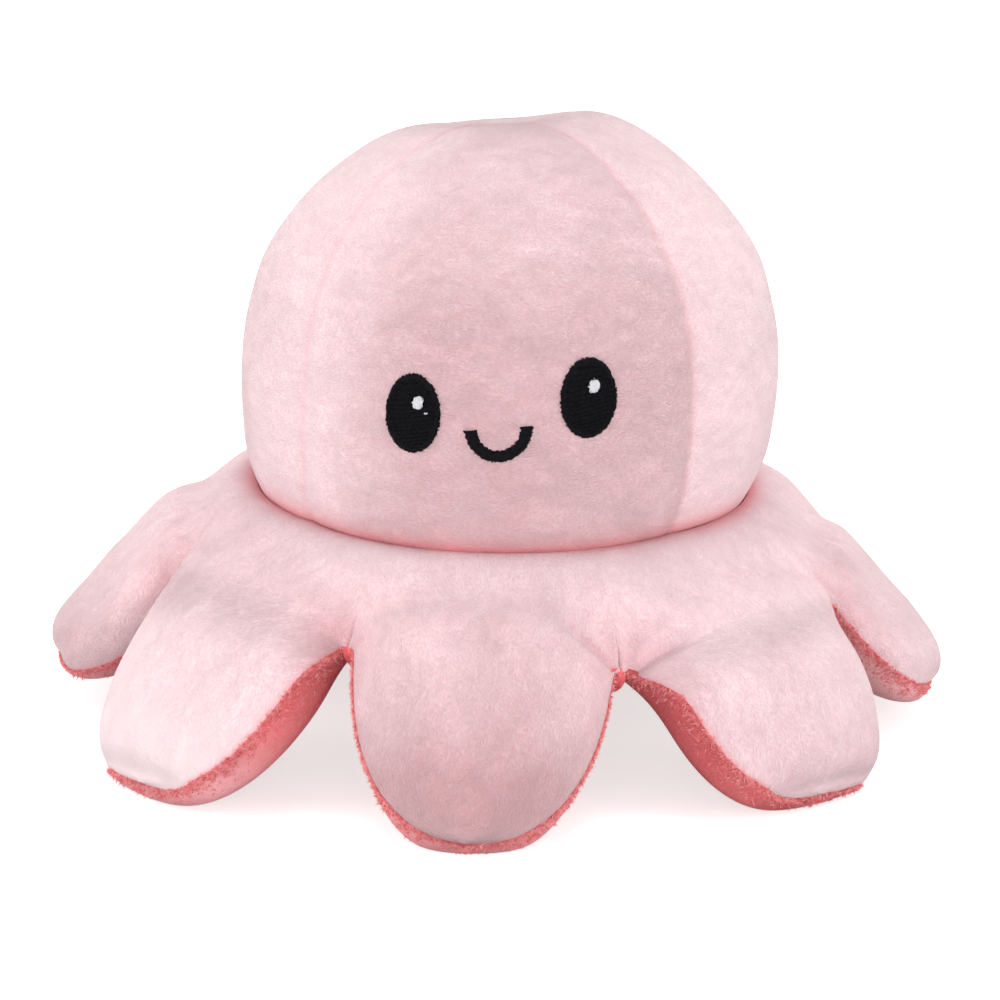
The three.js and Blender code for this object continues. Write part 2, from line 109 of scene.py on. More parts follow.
toward_camera = np.array([
    math.sin(camera_turn) * math.cos(camera_rise),
    -math.cos(camera_turn) * math.cos(camera_rise),
    math.sin(camera_rise),
])
camera = placed("camera", bpy.data.cameras.new("camera"))
camera.data.lens = camera_lens
camera.data.sensor_width = camera_sensor
camera.data.clip_start = 0.01
aim(camera, camera_target + toward_camera * camera_distance, camera_target)
bpy.context.scene.camera = camera
bpy.context.scene.view_settings.view_transform = "Standard"

for name, place, size, power, colour in softboxes:
    lamp = placed(name, bpy.data.lights.new(name, "AREA"))
    lamp.data.shape = "SQUARE"
    lamp.data.size = size
    lamp.data.energy = power
    lamp.data.color = colour
    aim(lamp, place, lamp_target)

# The room lights the toy with a faint pink, as light that comes back out of deep pile is, and the
# camera sees it plain white.
world = bpy.data.worlds.new("studio")
bpy.context.scene.world = world
world.use_nodes = True
sky = world.node_tree
sky.nodes.clear()
ray = wire(sky, "ShaderNodeLightPath")
seen = ray["Is Camera Ray"]
for kind in ("Is Glossy Ray", "Is Transmission Ray"):
    seen = wire(sky, "ShaderNodeMath", {0: seen, 1: ray[kind]}, operation="MAXIMUM")[0]
room = wire(sky, "ShaderNodeBackground", {"Color": room_colour, "Strength": room_strength})
backdrop = wire(sky, "ShaderNodeBackground", {"Color": plain_white})
either = wire(sky, "ShaderNodeMixShader", {"Fac": seen, 1: room[0], 2: backdrop[0]})
wire(sky, "ShaderNodeOutputWorld", {"Surface": either[0]})

paper, paper_tree, paper_shader = new_material("studio_paper")
paper_ray = wire(paper_tree, "ShaderNodeLightPath")["Is Camera Ray"]
paper_glow = wire(paper_tree, "ShaderNodeMath", {0: paper_ray, 1: paper_lift}, operation="MULTIPLY")[0]
feed(paper_tree, paper_shader, {
    "Base Color": paper_colour,
    "Roughness": 1.0,
    "Specular IOR Level": 0.0,
    "Emission Color": plain_white,
    "Emission Strength": paper_glow,
})
floor_mesh = bpy.data.meshes.new("studio_floor")
corner_signs = ((-1, -1), (1, -1), (1, 1), (-1, 1))
floor_corners = [(x * paper_half_side, y * paper_half_side, 0) for x, y in corner_signs]
floor_mesh.from_pydata(floor_corners, [], [(0, 1, 2, 3)])
floor_mesh.materials.append(paper)
floor = placed("studio_floor", floor_mesh)


# Head: four gores of short-pile pink plush, sewn edge to edge and drawn together at the crown,
# packed tight with fibrefill. The seams sink between the swollen gores.
head_radius = 0.0654
head_mid_height = 0.090
crown_rise = 0.0595
cheek_drop = 0.0495
crown_power = 2.0
cheek_power = 3.5
neck_height = 0.0585
neck_tilt = 0.002
neck_dip_right = 0.0022
head_shift = 0.0016
head_sway = 0.0018
sway_height = 0.093
crown_bump_height = 0.004
crown_bump_radius = 0.022
crown_bump_aside = 0.023
crown_bump_back = 0.008
seam_turn = math.radians(47)
seam_valley_share = 0.034
groove_depth = 0.0005
groove_width = 0.0013
crown_dimple_depth = 0.006
crown_dimple_radius = 0.018
crown_dimple_back = 0.008
ring_ease_reach = 0.007
ring_ease_span = 0.045
ring_ease_step = 0.00025
ring_ease_fade = (0.014, 0.024)
crown_from, crown_full = 0.5, 1.4
crown_valley_gain = 0.6
pole_radius = 0.002
seam_mask_width = 0.0011
head_seam_mask = 0.2
head_lumps = ((0.055, 3, 0.0006), (0.024, 5, 0.0002))
head_nap_and_shading_lumps = ((0.06, 31, 0.10), (0.02, 32, 0.06))
# Nap on the head: it deepens the relief, and paints the face darker, most low down, and the right gore a
# little paler: painted shade and painted light.
face_nap_and_shading, cheek_nap_and_shading, right_nap_and_shading = 0.14, 0.40, -0.05
neck_tuck = 0.0005
plush_thickness = 0.0012
patch_scale, patch_shade = 70, 0.85
clump_share, clump_twist = 0.25, 0.4
deepest_shade = 0.92
pile_matte = {"Specular IOR Level": 0.15, "Sheen Roughness": 0.45}
cut_edge_angle = math.radians(55)
toy_shift = np.array([0.002535, 0.000448, 0.0])
pink_tip = (0.99, 0.80, 0.83, 1)
# Root colour: the pile's deeper pink, partly strand-to-strand colour and partly painted shade in the gaps
# between strands.
pink_root_and_gap_shade = (0.85, 0.60, 0.635, 1)
# The seams' own deeper pink, also used as painted crease shade at the neck and round the notches.
pink_seam_and_crease_shade = (1.0, 0.36, 0.40, 1)
# Darker colour painted where the nap is raised and paler where it is laid: painted shade and painted light
# on the pink pile.
pink_raised_painted_shade = (0.76, 0.43, 0.455, 1)
pink_laid_painted_light = (0.985, 0.82, 0.845, 1)
coral_tip = (1.0, 0.33, 0.34, 1)
# Root colour: the pile's deeper coral, partly strand-to-strand colour and partly painted shade in the gaps
# between strands.
coral_root_and_gap_shade = (0.97, 0.17, 0.185, 1)
# The coral seams' own deeper red, also used as painted crease shade at the pocket's mouth and round the
# notches.
coral_seam_and_crease_shade = (0.80, 0.12, 0.135, 1)
# Darker colour painted where the nap is raised and paler where it is laid: painted shade and painted light
# on the coral pile.
coral_raised_painted_shade = (0.88, 0.12, 0.13, 1)
coral_laid_painted_light = (1.0, 0.56, 0.58, 1)
coral_sheen = (1.0, 0.6, 0.62, 1)

quarter = math.pi / 2


def smooth(low, high, value):
    """0 below low, 1 above high, and a soft step between."""
    share = np.clip((value - low) / (high - low), 0, 1)
    return share * share * (3 - 2 * share)


def bell(value, width):
    """1 where the value is 0, falling off to both sides over a width."""
    return np.exp(-((value / width) ** 2))


def from_seam(angle):
    """How far an angle round the head is from the nearest of the four seams."""
    from_face = np.abs((angle + quarter + math.pi) % (2 * math.pi) - math.pi)
    return np.minimum(np.abs(from_face - seam_turn), np.abs(from_face - (math.pi - seam_turn)))


def neck_seam_and_crease_shade(distance):
    """The neck's seam line, and a painted crease shade in the seam colour that spreads out over the cloth
    on both sides of it.
    """
    return 0.6 * bell(distance, 0.0018) + 0.4 * bell(distance, 0.0045)


def neck_height_at(angle):
    """The neck's seam is lower at the front and at the right."""
    return neck_height + neck_tilt * np.sin(angle) - neck_dip_right * np.maximum(0, np.cos(angle)) ** 2


def stuffing(place, size, seed):
    """Soft lumps of stuffing under the cloth, from -1 to 1, for an array of places."""
    total = np.zeros(place.shape[:-1])
    rng = np.random.default_rng(seed)
    for _ in range(9):
        direction = rng.normal(size=3)
        direction /= np.linalg.norm(direction)
        wave = place @ direction * (2 * math.pi / size) * rng.uniform(0.7, 1.4)
        total += np.sin(wave + rng.uniform(0, 2 * math.pi))
    return total / 5


def lumpy(place, waves):
    """Lumps of several sizes together: each has its size, its seed and its height."""
    return sum(stuffing(place, size, seed) * height for size, seed, height in waves)


def leaning(place):
    """The head leans a little to one side, most at its middle."""
    share = np.clip((place[..., 2] - neck_height) / sway_height, 0, 1)
    place[..., 0] += head_shift + head_sway * 4 * share * (1 - share)
    return place


def widest_ring_ease():
    """How far the cloth pulls in near the widest ring, where its upper and lower bulges meet."""
    height = np.arange(-ring_ease_span, ring_ease_span + ring_ease_step / 2, ring_ease_step)
    power = np.where(height > 0, crown_power, cheek_power)
    rise = np.where(height > 0, crown_rise, cheek_drop)
    radius = head_radius * (1 - (np.abs(height) / rise) ** power) ** (1 / power)
    spread = np.exp(-((np.arange(-80, 81) * ring_ease_step / ring_ease_reach) ** 2) / 2)
    eased_radius = np.convolve(radius, spread / spread.sum(), mode="same")
    return height, (eased_radius - radius) * (1 - smooth(*ring_ease_fade, np.abs(height)))


ring_heights, ring_pull = widest_ring_ease()


def head_point(angle, tilt):
    """The head's skin: angle goes round, tilt goes from below the widest ring up to the crown."""
    power = np.where(tilt > 0, 2 / crown_power, 2 / cheek_power)
    rise = np.where(tilt > 0, crown_rise, cheek_drop)
    near = from_seam(angle)
    share = np.minimum(1, near / (quarter / 2))
    crown = smooth(crown_from, crown_full, tilt)
    valley = seam_valley_share * (1 + crown_valley_gain * crown) * (1 - share) ** 2
    level = np.maximum(np.cos(tilt), 0) ** power
    groove = groove_depth * bell(near * (head_radius * level + pole_radius), groove_width)
    groove = groove * smooth(0.03, 0.2, level)
    height = np.sign(tilt) * rise * np.abs(np.sin(tilt)) ** power
    radius = (head_radius * (1 - valley) - groove) * level + np.interp(height, ring_heights, ring_pull)
    x, y = radius * np.cos(angle), radius * np.sin(angle)
    sink = crown_dimple_depth * bell(np.hypot(x, y - crown_dimple_back), crown_dimple_radius)
    swell = crown_bump_height * bell(np.hypot(x - crown_bump_aside, y - crown_bump_back), crown_bump_radius)
    above = head_mid_height + height + (swell - sink) * (tilt > 0) - groove * crown
    return leaning(np.stack([x, y, above], -1))


def head_cloth(angle, tilt, lift=0.0):
    """The head's skin with the soft lumps of its stuffing."""
    place = head_point(angle, tilt)
    outward = place - np.array([head_shift, 0, head_mid_height])
    outward = outward / np.linalg.norm(outward, axis=-1, keepdims=True)
    return place + outward * (lumpy(place, head_lumps) + lift)[..., None]


def head_tilt_at(height):
    """The tilt that head_point needs for a height above the floor."""
    lift = np.asarray(height) - head_mid_height
    power = np.where(lift > 0, crown_power / 2, cheek_power / 2)
    rise = np.where(lift > 0, crown_rise, cheek_drop)
    return np.sign(lift) * np.arcsin(np.clip((np.abs(lift) / rise) ** power, 0, 1))


def mark(mesh, name, values):
    """Gives each point of a mesh a number under a name."""
    layer = mesh.attributes.new(name, "FLOAT", "POINT")
    layer.data.foreach_set("value", values.reshape(-1).astype(np.float32))


def closed(values, onward=False):
    """A grid with one more column: its first one again, or one more step onward."""
    last = 2 * values[:, -1:] - values[:, -2:-1] if onward else values[:, :1]
    return np.concatenate([values, last], axis=1)


def grid_mesh(name, places, across, along, seam_and_shade, ring=False, turned=False, nap_and_shading=None):
    """A mesh over rows of places, with a map in metres across and along the pile, how near each
    point is to a seam (with painted crease shade beside some), and the nap: 1 is brushed up, with taller
    relief and a darker painted shade, -1 is brushed flat with a paler painted light."""
    if ring:
        places, seam_and_shade = closed(places), closed(seam_and_shade)
        across, along = closed(across, onward=True), closed(along, onward=True)
        nap_and_shading = nap_and_shading if nap_and_shading is None else closed(nap_and_shading)
    rows, columns = places.shape[:2]
    j, i = np.meshgrid(np.arange(rows - 1), np.arange(columns - 1), indexing="ij")
    corner = j * columns + i
    quads = np.stack([corner, corner + 1, corner + columns + 1, corner + columns], -1).reshape(-1, 4)
    if turned:
        quads = quads[:, ::-1]
    mesh = bpy.data.meshes.new(name)
    mesh.from_pydata((places + toy_shift).reshape(-1, 3).tolist(), [], quads.tolist())
    loops = np.zeros(len(mesh.loops), int)
    mesh.loops.foreach_get("vertex_index", loops)
    flat = np.stack([across.reshape(-1), along.reshape(-1)], -1)[loops]
    mesh.uv_layers.new(name="pile").data.foreach_set("uv", flat.reshape(-1).astype(np.float32))
    mark(mesh, "seam_and_shade", seam_and_shade)
    if nap_and_shading is not None:
        mark(mesh, "nap_and_shading", nap_and_shading)
    return mesh


def weld(mesh, distance=1e-6):
    """Closes poles and joins edges that lie on each other."""
    work = bmesh.new()
    work.from_mesh(mesh)
    bmesh.ops.remove_doubles(work, verts=work.verts, dist=distance)
    bmesh.ops.dissolve_degenerate(work, edges=work.edges, dist=distance)
    work.to_mesh(mesh)
    work.free()
    mesh.polygons.foreach_set("use_smooth", [True] * len(mesh.polygons))
    mesh.update()


def plain(mesh, material):
    """One material and smooth faces all over."""
    mesh.materials.clear()
    mesh.materials.append(material)
    mesh.polygons.foreach_set("material_index", [0] * len(mesh.polygons))
    mesh.polygons.foreach_set("use_smooth", [True] * len(mesh.polygons))


def evaluated_mesh(thing):
    """The plain mesh that an object's modifiers make."""
    return bpy.data.meshes.new_from_object(thing.evaluated_get(bpy.context.evaluated_depsgraph_get()))


def cloth_piece(name, mesh, material):
    """A piece of plush: the mesh is its face, and its back lies one thickness inside."""
    weld(mesh)
    mesh.materials.append(material)
    piece = placed(name, mesh)
    backing = piece.modifiers.new("backing", "SOLIDIFY")
    backing.thickness = plush_thickness
    backing.offset = -1
    finished = evaluated_mesh(piece)
    piece.modifiers.clear()
    piece.data = finished
    finished.name = name
    finished.set_sharp_from_angle(angle=cut_edge_angle)
    return piece


def new_group(name, kind, inputs, outputs):
    """A node group with named sockets, what its input node gives, and its output node."""
    group = bpy.data.node_groups.new(name, kind)
    for in_out, sockets in (("INPUT", inputs), ("OUTPUT", outputs)):
        for socket, socket_type, *value in sockets:
            item = group.interface.new_socket(socket, in_out=in_out, socket_type="NodeSocket" + socket_type)
            if value:
                item.default_value = value[0]
    return group, group.nodes.new("NodeGroupInput").outputs, group.nodes.new("NodeGroupOutput")


def pile_group():
    """Short brushed pile: strands along the map, in clumps that lie this way and that."""
    group, given, out = new_group("brushed pile", "ShaderNodeTree", (
        ("Tip Color", "Color", pink_tip),
        ("Root Color", "Color", pink_root_and_gap_shade),
        ("Seam Color", "Color", pink_seam_and_crease_shade),
        ("Raised Color", "Color", pink_raised_painted_shade),
        ("Laid Color", "Color", pink_laid_painted_light),
        ("Strands per Metre", "Float", 2600.0),
        ("Strand Stretch", "Float", 0.42),
        ("Clumps per Metre", "Float", 420.0),
        ("Swirl", "Float", 0.006),
    ), (("Color", "Color"), ("Height", "Float")))

    def node(kind, inputs=None, **choices):
        return wire(group, kind, inputs, **choices)

    def spread(value, low, high, to_low=0.0, to_high=1.0, way="SMOOTHSTEP"):
        limits = {"From Min": low, "From Max": high, "To Min": to_low, "To Max": to_high}
        ranged = node("ShaderNodeMapRange", {"Value": value, **limits}, interpolation_type=way)
        return ranged["Result"]

    def product(one, other, use_clamp=False):
        return node("ShaderNodeMath", {0: one, 1: other}, operation="MULTIPLY", use_clamp=use_clamp)[0]

    def vector(one, other, operation="SUBTRACT"):
        return node("ShaderNodeVectorMath", {0: one, 1: other}, operation=operation)[0]

    def tinted(colour, other, share):
        return node("ShaderNodeMix", {"Factor": share, 6: colour, 7: other}, data_type="RGBA")[2]

    place = node("ShaderNodeTexCoord")["Object"]
    brushed = node("ShaderNodeTexNoise", {"Vector": place, "Scale": patch_scale, "Detail": 2})
    centred = vector(brushed["Color"], (0.5, 0.5, 0.5))
    swirl = node("ShaderNodeVectorMath", {0: centred, "Scale": given["Swirl"]}, operation="SCALE")[0]
    laid = vector(node("ShaderNodeUVMap", uv_map="pile")["UV"], swirl, "ADD")
    stretch = node("ShaderNodeCombineXYZ", {"X": 1, "Y": given["Strand Stretch"], "Z": 1})[0]
    drawn = vector(laid, stretch, "MULTIPLY")
    strands = node("ShaderNodeTexNoise", {
        "Vector": drawn, "Scale": given["Strands per Metre"], "Detail": 3, "Roughness": 0.6,
    })["Fac"]
    clumps = node("ShaderNodeTexNoise", {
        "Vector": drawn, "Scale": given["Clumps per Metre"], "Detail": 3, "Distortion": clump_twist,
    })["Fac"]
    height = node("ShaderNodeMix", {
        "Factor": clump_share, "A": spread(strands, 0.25, 0.75), "B": spread(clumps, 0.3, 0.7),
    })["Result"]
    shade = spread(height, 0.0, deepest_shade)
    patches = spread(brushed["Fac"], 0.3, 0.7, patch_shade, 1.0)
    # Strands mix from the root colour, with its painted shade in the gaps, to the tip colour.
    cloth = tinted(given["Root Color"], given["Tip Color"], product(shade, patches))

    # The nap paints shade where the pile is raised and light where it is laid, in place of how light falls
    # on it.
    nap_and_shading = node("ShaderNodeAttribute", attribute_name="nap_and_shading")["Fac"]
    lie = spread(shade, 0.0, 1.0, 1.15, 0.85)
    for fullest, colour in ((1.0, "Raised Color"), (-1.0, "Laid Color")):
        amount = spread(nap_and_shading, 0.0, fullest, way="LINEAR")
        cloth = tinted(cloth, given[colour], product(amount, lie, use_clamp=True))
    # The seam colour marks the seams, and also paints the crease shade at the neck and round the notches.
    seam_and_shade = node("ShaderNodeAttribute", attribute_name="seam_and_shade")["Fac"]
    stand = spread(nap_and_shading, 0.0, 1.0, 0.8, 1.8, way="LINEAR")
    feed(group, out, {
        "Color": tinted(cloth, given["Seam Color"], seam_and_shade),
        "Height": product(height, stand),
    })
    return group


brushed_pile = pile_group()


def bumped(tree, height, distance, strength=1.0):
    """The shading of a surface that small heights stand on."""
    return wire(tree, "ShaderNodeBump", {"Strength": strength, "Distance": distance, "Height": height})[0]


def plush(name, tip, root, seam_and_shade, raised, laid, sheen, sheen_tint, bump):
    """A plush material: brushed pile over a soft, slightly shiny cloth."""
    material, tree, shader = new_material(name)
    pile = wire(tree, "ShaderNodeGroup", {
        "Tip Color": tip,
        "Root Color": root,
        "Seam Color": seam_and_shade,
        "Raised Color": raised,
        "Laid Color": laid,
    }, node_tree=brushed_pile)
    feed(tree, shader, {
        "Base Color": pile["Color"],
        "Normal": bumped(tree, pile["Height"], bump),
        "Roughness": 0.92,
        "Sheen Weight": sheen,
        "Sheen Tint": sheen_tint,
        **pile_matte,
    })
    return material


pink_plush = plush(
    "pink_plush", pink_tip, pink_root_and_gap_shade, pink_seam_and_crease_shade, pink_raised_painted_shade, pink_laid_painted_light,
    sheen=0.75, sheen_tint=(1.0, 0.94, 0.95, 1), bump=0.00042,
)
coral_plush = plush(
    "coral_plush", coral_tip, coral_root_and_gap_shade, coral_seam_and_crease_shade, coral_raised_painted_shade, coral_laid_painted_light,
    sheen=0.3, sheen_tint=coral_sheen, bump=0.0006,
)

head_rows, cheek_rows, head_columns = 124, 40, 320
back_seam = -quarter - (math.pi - seam_turn)
head_angles = np.linspace(back_seam, back_seam + 2 * math.pi, head_columns, endpoint=False)
cheek_share = np.linspace(0, 1, cheek_rows, endpoint=False)[:, None]
head_foot = neck_height_at(head_angles) - neck_tuck
cheek_heights = head_foot * (1 - cheek_share) + head_mid_height * cheek_share
crown_tilts = quarter * np.linspace(0, 1, head_rows - cheek_rows)[:, None]
head_tilts = np.concatenate([head_tilt_at(cheek_heights), crown_tilts + 0 * head_angles])
head_turns = np.broadcast_to(head_angles, head_tilts.shape)
head_places = head_cloth(head_turns, head_tilts)

head_out = head_radius * np.maximum(np.cos(head_tilts), 0.02)
head_seam_and_shade = bell(from_seam(head_turns) * head_out, seam_mask_width) * head_seam_mask
# The neck's seam, with a painted crease shade over the cloth beside it.
head_seam_and_shade = np.maximum(head_seam_and_shade, neck_seam_and_crease_shade(head_places[..., 2] - neck_height_at(head_turns)))
from_front = (head_turns + quarter + math.pi) % (2 * math.pi) - math.pi
past_right = smooth(seam_turn - 0.02, seam_turn + 0.02, from_front)
on_front = smooth(-seam_turn * 1.02, -seam_turn * 0.2, from_front) * (1 - past_right)
on_right = past_right * (1 - smooth(1.6, 2.4, from_front))
low = 1 - smooth(0.2, 1.2, head_tilts)
# Painted shade on the face, most low on it, and a little painted light on the right gore, both through the
# nap.
head_nap_and_shading = on_front * (face_nap_and_shading + cheek_nap_and_shading * low) + on_right * right_nap_and_shading
head_nap_and_shading += lumpy(head_places, head_nap_and_shading_lumps)
head_across = (head_turns + math.pi) * head_radius
head_steps = np.linalg.norm(np.diff(head_places, axis=0), axis=-1).mean(axis=1)
head_along = np.concatenate([[0], np.cumsum(head_steps)])[:, None] + 0 * head_tilts
head_mesh = grid_mesh(
    "head_plush", head_places, head_along, head_across, head_seam_and_shade, ring=True, nap_and_shading=head_nap_and_shading,
)
head = cloth_piece("head_plush", head_mesh, pink_plush)
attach(head, "body")
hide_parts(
    "head_panel_front", "head_panel_right", "head_panel_back", "head_panel_left", "head_filling",
)


# Face: black satin stitches sewn through the plush on a dense underlay. Each eye is filled with
# long slanting stitches inside a border of short ones, and the mouth is a bar of stitches laid
# side by side along a curve. Pale stitches over the eyes are their glints.
face_height = head_mid_height + 0.0019
face_turn = math.radians(2.0)
face_tilt = math.radians(5.5)
lean_cos, lean_sin = math.cos(face_tilt), math.sin(face_tilt)
face_lean = np.array([[lean_cos, -lean_sin], [lean_sin, lean_cos]])
eye_spacing = 0.0418
eye_size = np.array([0.00685, 0.0091])
eye_border = 0.0015
edge_ragged = 0.0003
eye_underlay_share = 0.97
glint_aside = {"left": 0.0014, "right": 0.0008}
glint_above = 0.0028
glint_size = np.array([0.0012, 0.00195])
glint_slant = 0.0003
glint_lift = 0.0002
glint_stray = np.array([(0.0017, -0.0023), (0.0026, -0.0022)])
glint_underlay = glint_size * (0.8, 0.85)
mouth_span = 0.0129
mouth_drop = 0.0066
mouth_below = 0.0044
mouth_aside = -0.0007
mouth_stroke = 0.0026
underlay_lift = 0.00035
thread_radius = 0.00019
thread_lift = 0.0006
thread_dip = 0.0002
stitch_sink = 0.0003
stitch_arch = 0.35
least_stitch = 0.001
stitch_step = 0.00027
fill_step = 0.00033
fill_slant = math.radians(24)
fill_stitch = 0.0042
thread_black = (0.003, 0.003, 0.004, 1)
thread_black_worn = (0.010, 0.010, 0.012, 1)
thread_pale = (0.62, 0.64, 0.67, 1)
thread_pale_worn = (0.80, 0.81, 0.83, 1)
stitch_points = 5
fill_lifts = (0.85, 1.05)
bar_end_reach, bar_end_swell = 0.0005, 0.25
bar_lift = underlay_lift * 1.7
strands_per_metre = 1400


def on_face(aside, above, lift):
    """A place on the face, measured along the cloth from the middle of the face."""
    angle = -quarter + face_turn + aside / head_radius
    return head_cloth(angle, head_tilt_at(face_height + above), lift)


def dyed(tree, geometry, material):
    """The end of a tree: plain meshes in one material."""
    real = wire(tree, "GeometryNodeRealizeInstances", {"Geometry": geometry})["Geometry"]
    return wire(tree, "GeometryNodeSetMaterial", {"Geometry": real, "Material": material})["Geometry"]


def thread_tree():
    """Lays a thread along every run of edges."""
    tree, given, out = new_group("laid threads", "GeometryNodeTree", (
        ("Guides", "Geometry"), ("Thread Radius", "Float"), ("Thread", "Material"),
    ), (("Threads", "Geometry"),))
    path = wire(tree, "GeometryNodeMeshToCurve", {"Mesh": given["Guides"]})["Curve"]
    section = wire(tree, "GeometryNodeCurvePrimitiveCircle", {
        "Resolution": 5, "Radius": given["Thread Radius"],
    })["Curve"]
    laid = wire(tree, "GeometryNodeCurveToMesh", {
        "Curve": path, "Profile Curve": section, "Fill Caps": True,
    })["Mesh"]
    feed(tree, out, {"Threads": dyed(tree, laid, given["Thread"])})
    return tree


def made_by_tree(guide, tree, settings):
    """The plain mesh that a geometry tree makes from a guide mesh."""
    holder = placed(guide.name, guide)
    maker = holder.modifiers.new("maker", "NODES")
    maker.node_group = tree
    for item in tree.interface.items_tree:
        if item.item_type == "SOCKET" and item.name in settings:
            maker[item.identifier] = settings[item.name]
    made = evaluated_mesh(holder)
    bpy.data.objects.remove(holder)
    return made


laid_threads = thread_tree()


def stitched(name, runs, underlay, material):
    """One embroidered piece: a closed underlay with a thread along every run of points."""
    guide = bpy.data.meshes.new(name + "_guides")
    points = np.concatenate(runs) + toy_shift
    starts = np.cumsum([0] + [len(run) for run in runs])
    edges = [(k, k + 1) for first, last in zip(starts, starts[1:]) for k in range(first, last - 1)]
    guide.from_pydata(points.tolist(), edges, [])
    threads = made_by_tree(guide, laid_threads, {"Thread Radius": thread_radius, "Thread": material})
    work = bmesh.new()
    work.from_mesh(threads)
    work.from_mesh(underlay)
    bmesh.ops.recalc_face_normals(work, faces=work.faces)
    mesh = bpy.data.meshes.new(name)
    work.to_mesh(mesh)
    work.free()
    plain(mesh, material)
    return placed(name, mesh)


def closed_sheet(name, surface, aside, above, lift, round_sheet):
    """A thin closed body between the cloth and a sheet lifted off it, over a grid of places."""
    upper, lower = surface(aside, above, lift), surface(aside, above, 0 * aside - stitch_sink)
    flipped = lower[::-1] if round_sheet else lower[:, ::-1]
    both = np.concatenate([upper, flipped], axis=0 if round_sheet else 1)
    flat = 0 * both[..., 0]
    mesh = grid_mesh(name, both, flat, flat, flat, ring=True)
    weld(mesh)
    work = bmesh.new()
    work.from_mesh(mesh)
    bmesh.ops.holes_fill(work, edges=[edge for edge in work.edges if edge.is_boundary])
    work.to_mesh(mesh)
    work.free()
    return mesh


def arched(surface, start, end, lift=thread_lift):
    """One stitch: it comes up at its start, lies over the underlay and goes down at its end."""
    share = np.linspace(0, 1, stitch_points)
    aside, above = (start[k] + (end[k] - start[k]) * share for k in (0, 1))
    over = -thread_dip + (lift + thread_dip) * np.sin(math.pi * share) ** stitch_arch
    return surface(aside, above, over)


def eye_runs(surface, centre, size):
    """Slanting rows of stitches across an ellipse, then the short stitches of its border."""
    runs = []
    inner = size - eye_border / 2
    along = np.array([math.cos(fill_slant), math.sin(fill_slant)])
    aside = np.array([-along[1], along[0]])
    for row, offset in enumerate(np.arange(-size[1], size[1], fill_step)):
        start = aside * offset
        a = ((along / inner) ** 2).sum()
        b = (along * start / inner ** 2).sum()
        c = ((start / inner) ** 2).sum() - 1
        if b * b <= a * c:
            continue
        half = math.sqrt(b * b - a * c) / a
        low, high = -b / a - half, -b / a + half
        cuts = np.arange(low - (row % 3) * fill_stitch / 3, high, fill_stitch)
        cuts = cuts[(cuts > low + least_stitch) & (cuts < high - least_stitch)]
        cuts = np.concatenate([[low], cuts, [high]])
        for first, last in zip(cuts[:-1], cuts[1:]):
            one, two = centre + start + along * first, centre + start + along * last
            runs.append(arched(surface, one, two, thread_lift * sewing_rng.uniform(*fill_lifts)))
    around = 2 * math.pi * math.hypot(*size) / math.sqrt(2)
    for turn in np.linspace(0, 2 * math.pi, int(around / stitch_step), endpoint=False):
        spoke = np.array([math.cos(turn), math.sin(turn)])
        edge = size + sewing_rng.uniform(-0.4, 1) * edge_ragged
        runs.append(arched(surface, centre + spoke * (edge - eye_border), centre + spoke * edge))
    return runs


def disc(surface, name, centre, size, lift):
    """A domed round underlay."""
    turn = np.linspace(0, 2 * math.pi, 48, endpoint=False)
    share = np.linspace(0, 1, 10)[:, None]
    aside = centre[0] + size[0] * share * np.cos(turn)
    above = centre[1] + size[1] * share * np.sin(turn)
    rise = lift * np.sqrt(1 - 0.999 * share ** 4) + 0 * turn
    return closed_sheet(name, surface, aside, above, rise, round_sheet=True)


def bar(surface, name, middle_line, side_line, width):
    """A bar of stitches side by side along a curve, on an underlay."""
    share = np.linspace(0, 1, len(middle_line))
    steps = np.concatenate([[0], np.cumsum(np.linalg.norm(np.diff(middle_line, axis=0), axis=1))])
    runs = []
    for place in np.arange(0, steps[-1], stitch_step):
        middle, side = (
            np.array([np.interp(place, steps, line[:, k]) for k in (0, 1)])
            for line in (middle_line, side_line)
        )
        side /= np.linalg.norm(side)
        near_end = math.exp(-min(place, steps[-1] - place) / bar_end_reach)
        half = width / 2 * (1 + bar_end_swell * near_end)
        one = middle - side * (half + sewing_rng.uniform(-0.5, 1) * edge_ragged)
        two = middle + side * (half + sewing_rng.uniform(-0.5, 1) * edge_ragged)
        runs.append(arched(surface, one, two, bar_lift))
    edge = np.linspace(-0.9, 0.9, 5)[:, None]
    aside, above = (middle_line[:, k] + side_line[:, k] * edge * width / 2 for k in (0, 1))
    rise = np.sqrt(1 - 0.9 * edge ** 2) * np.sin(np.clip(share, 0.02, 0.98) * math.pi) ** 0.2
    rise = underlay_lift * rise.T
    underlay = closed_sheet(name + "_underlay", surface, aside.T, above.T, rise, round_sheet=False)
    return stitched(name + "_stitches", runs, underlay, black_thread)


def smile_lines(centre, span, drop, turn):
    """The middle line of a smile and the direction across it at each point."""
    bend = np.linspace(-quarter, quarter, 41)
    line = np.stack([np.sin(bend) * span / 2, -np.cos(bend) * drop], -1)
    side = np.stack([np.sin(bend) / span, -np.cos(bend) / (2 * drop)], -1)
    side /= np.linalg.norm(side, axis=1, keepdims=True)
    return line @ turn.T + centre, side @ turn.T


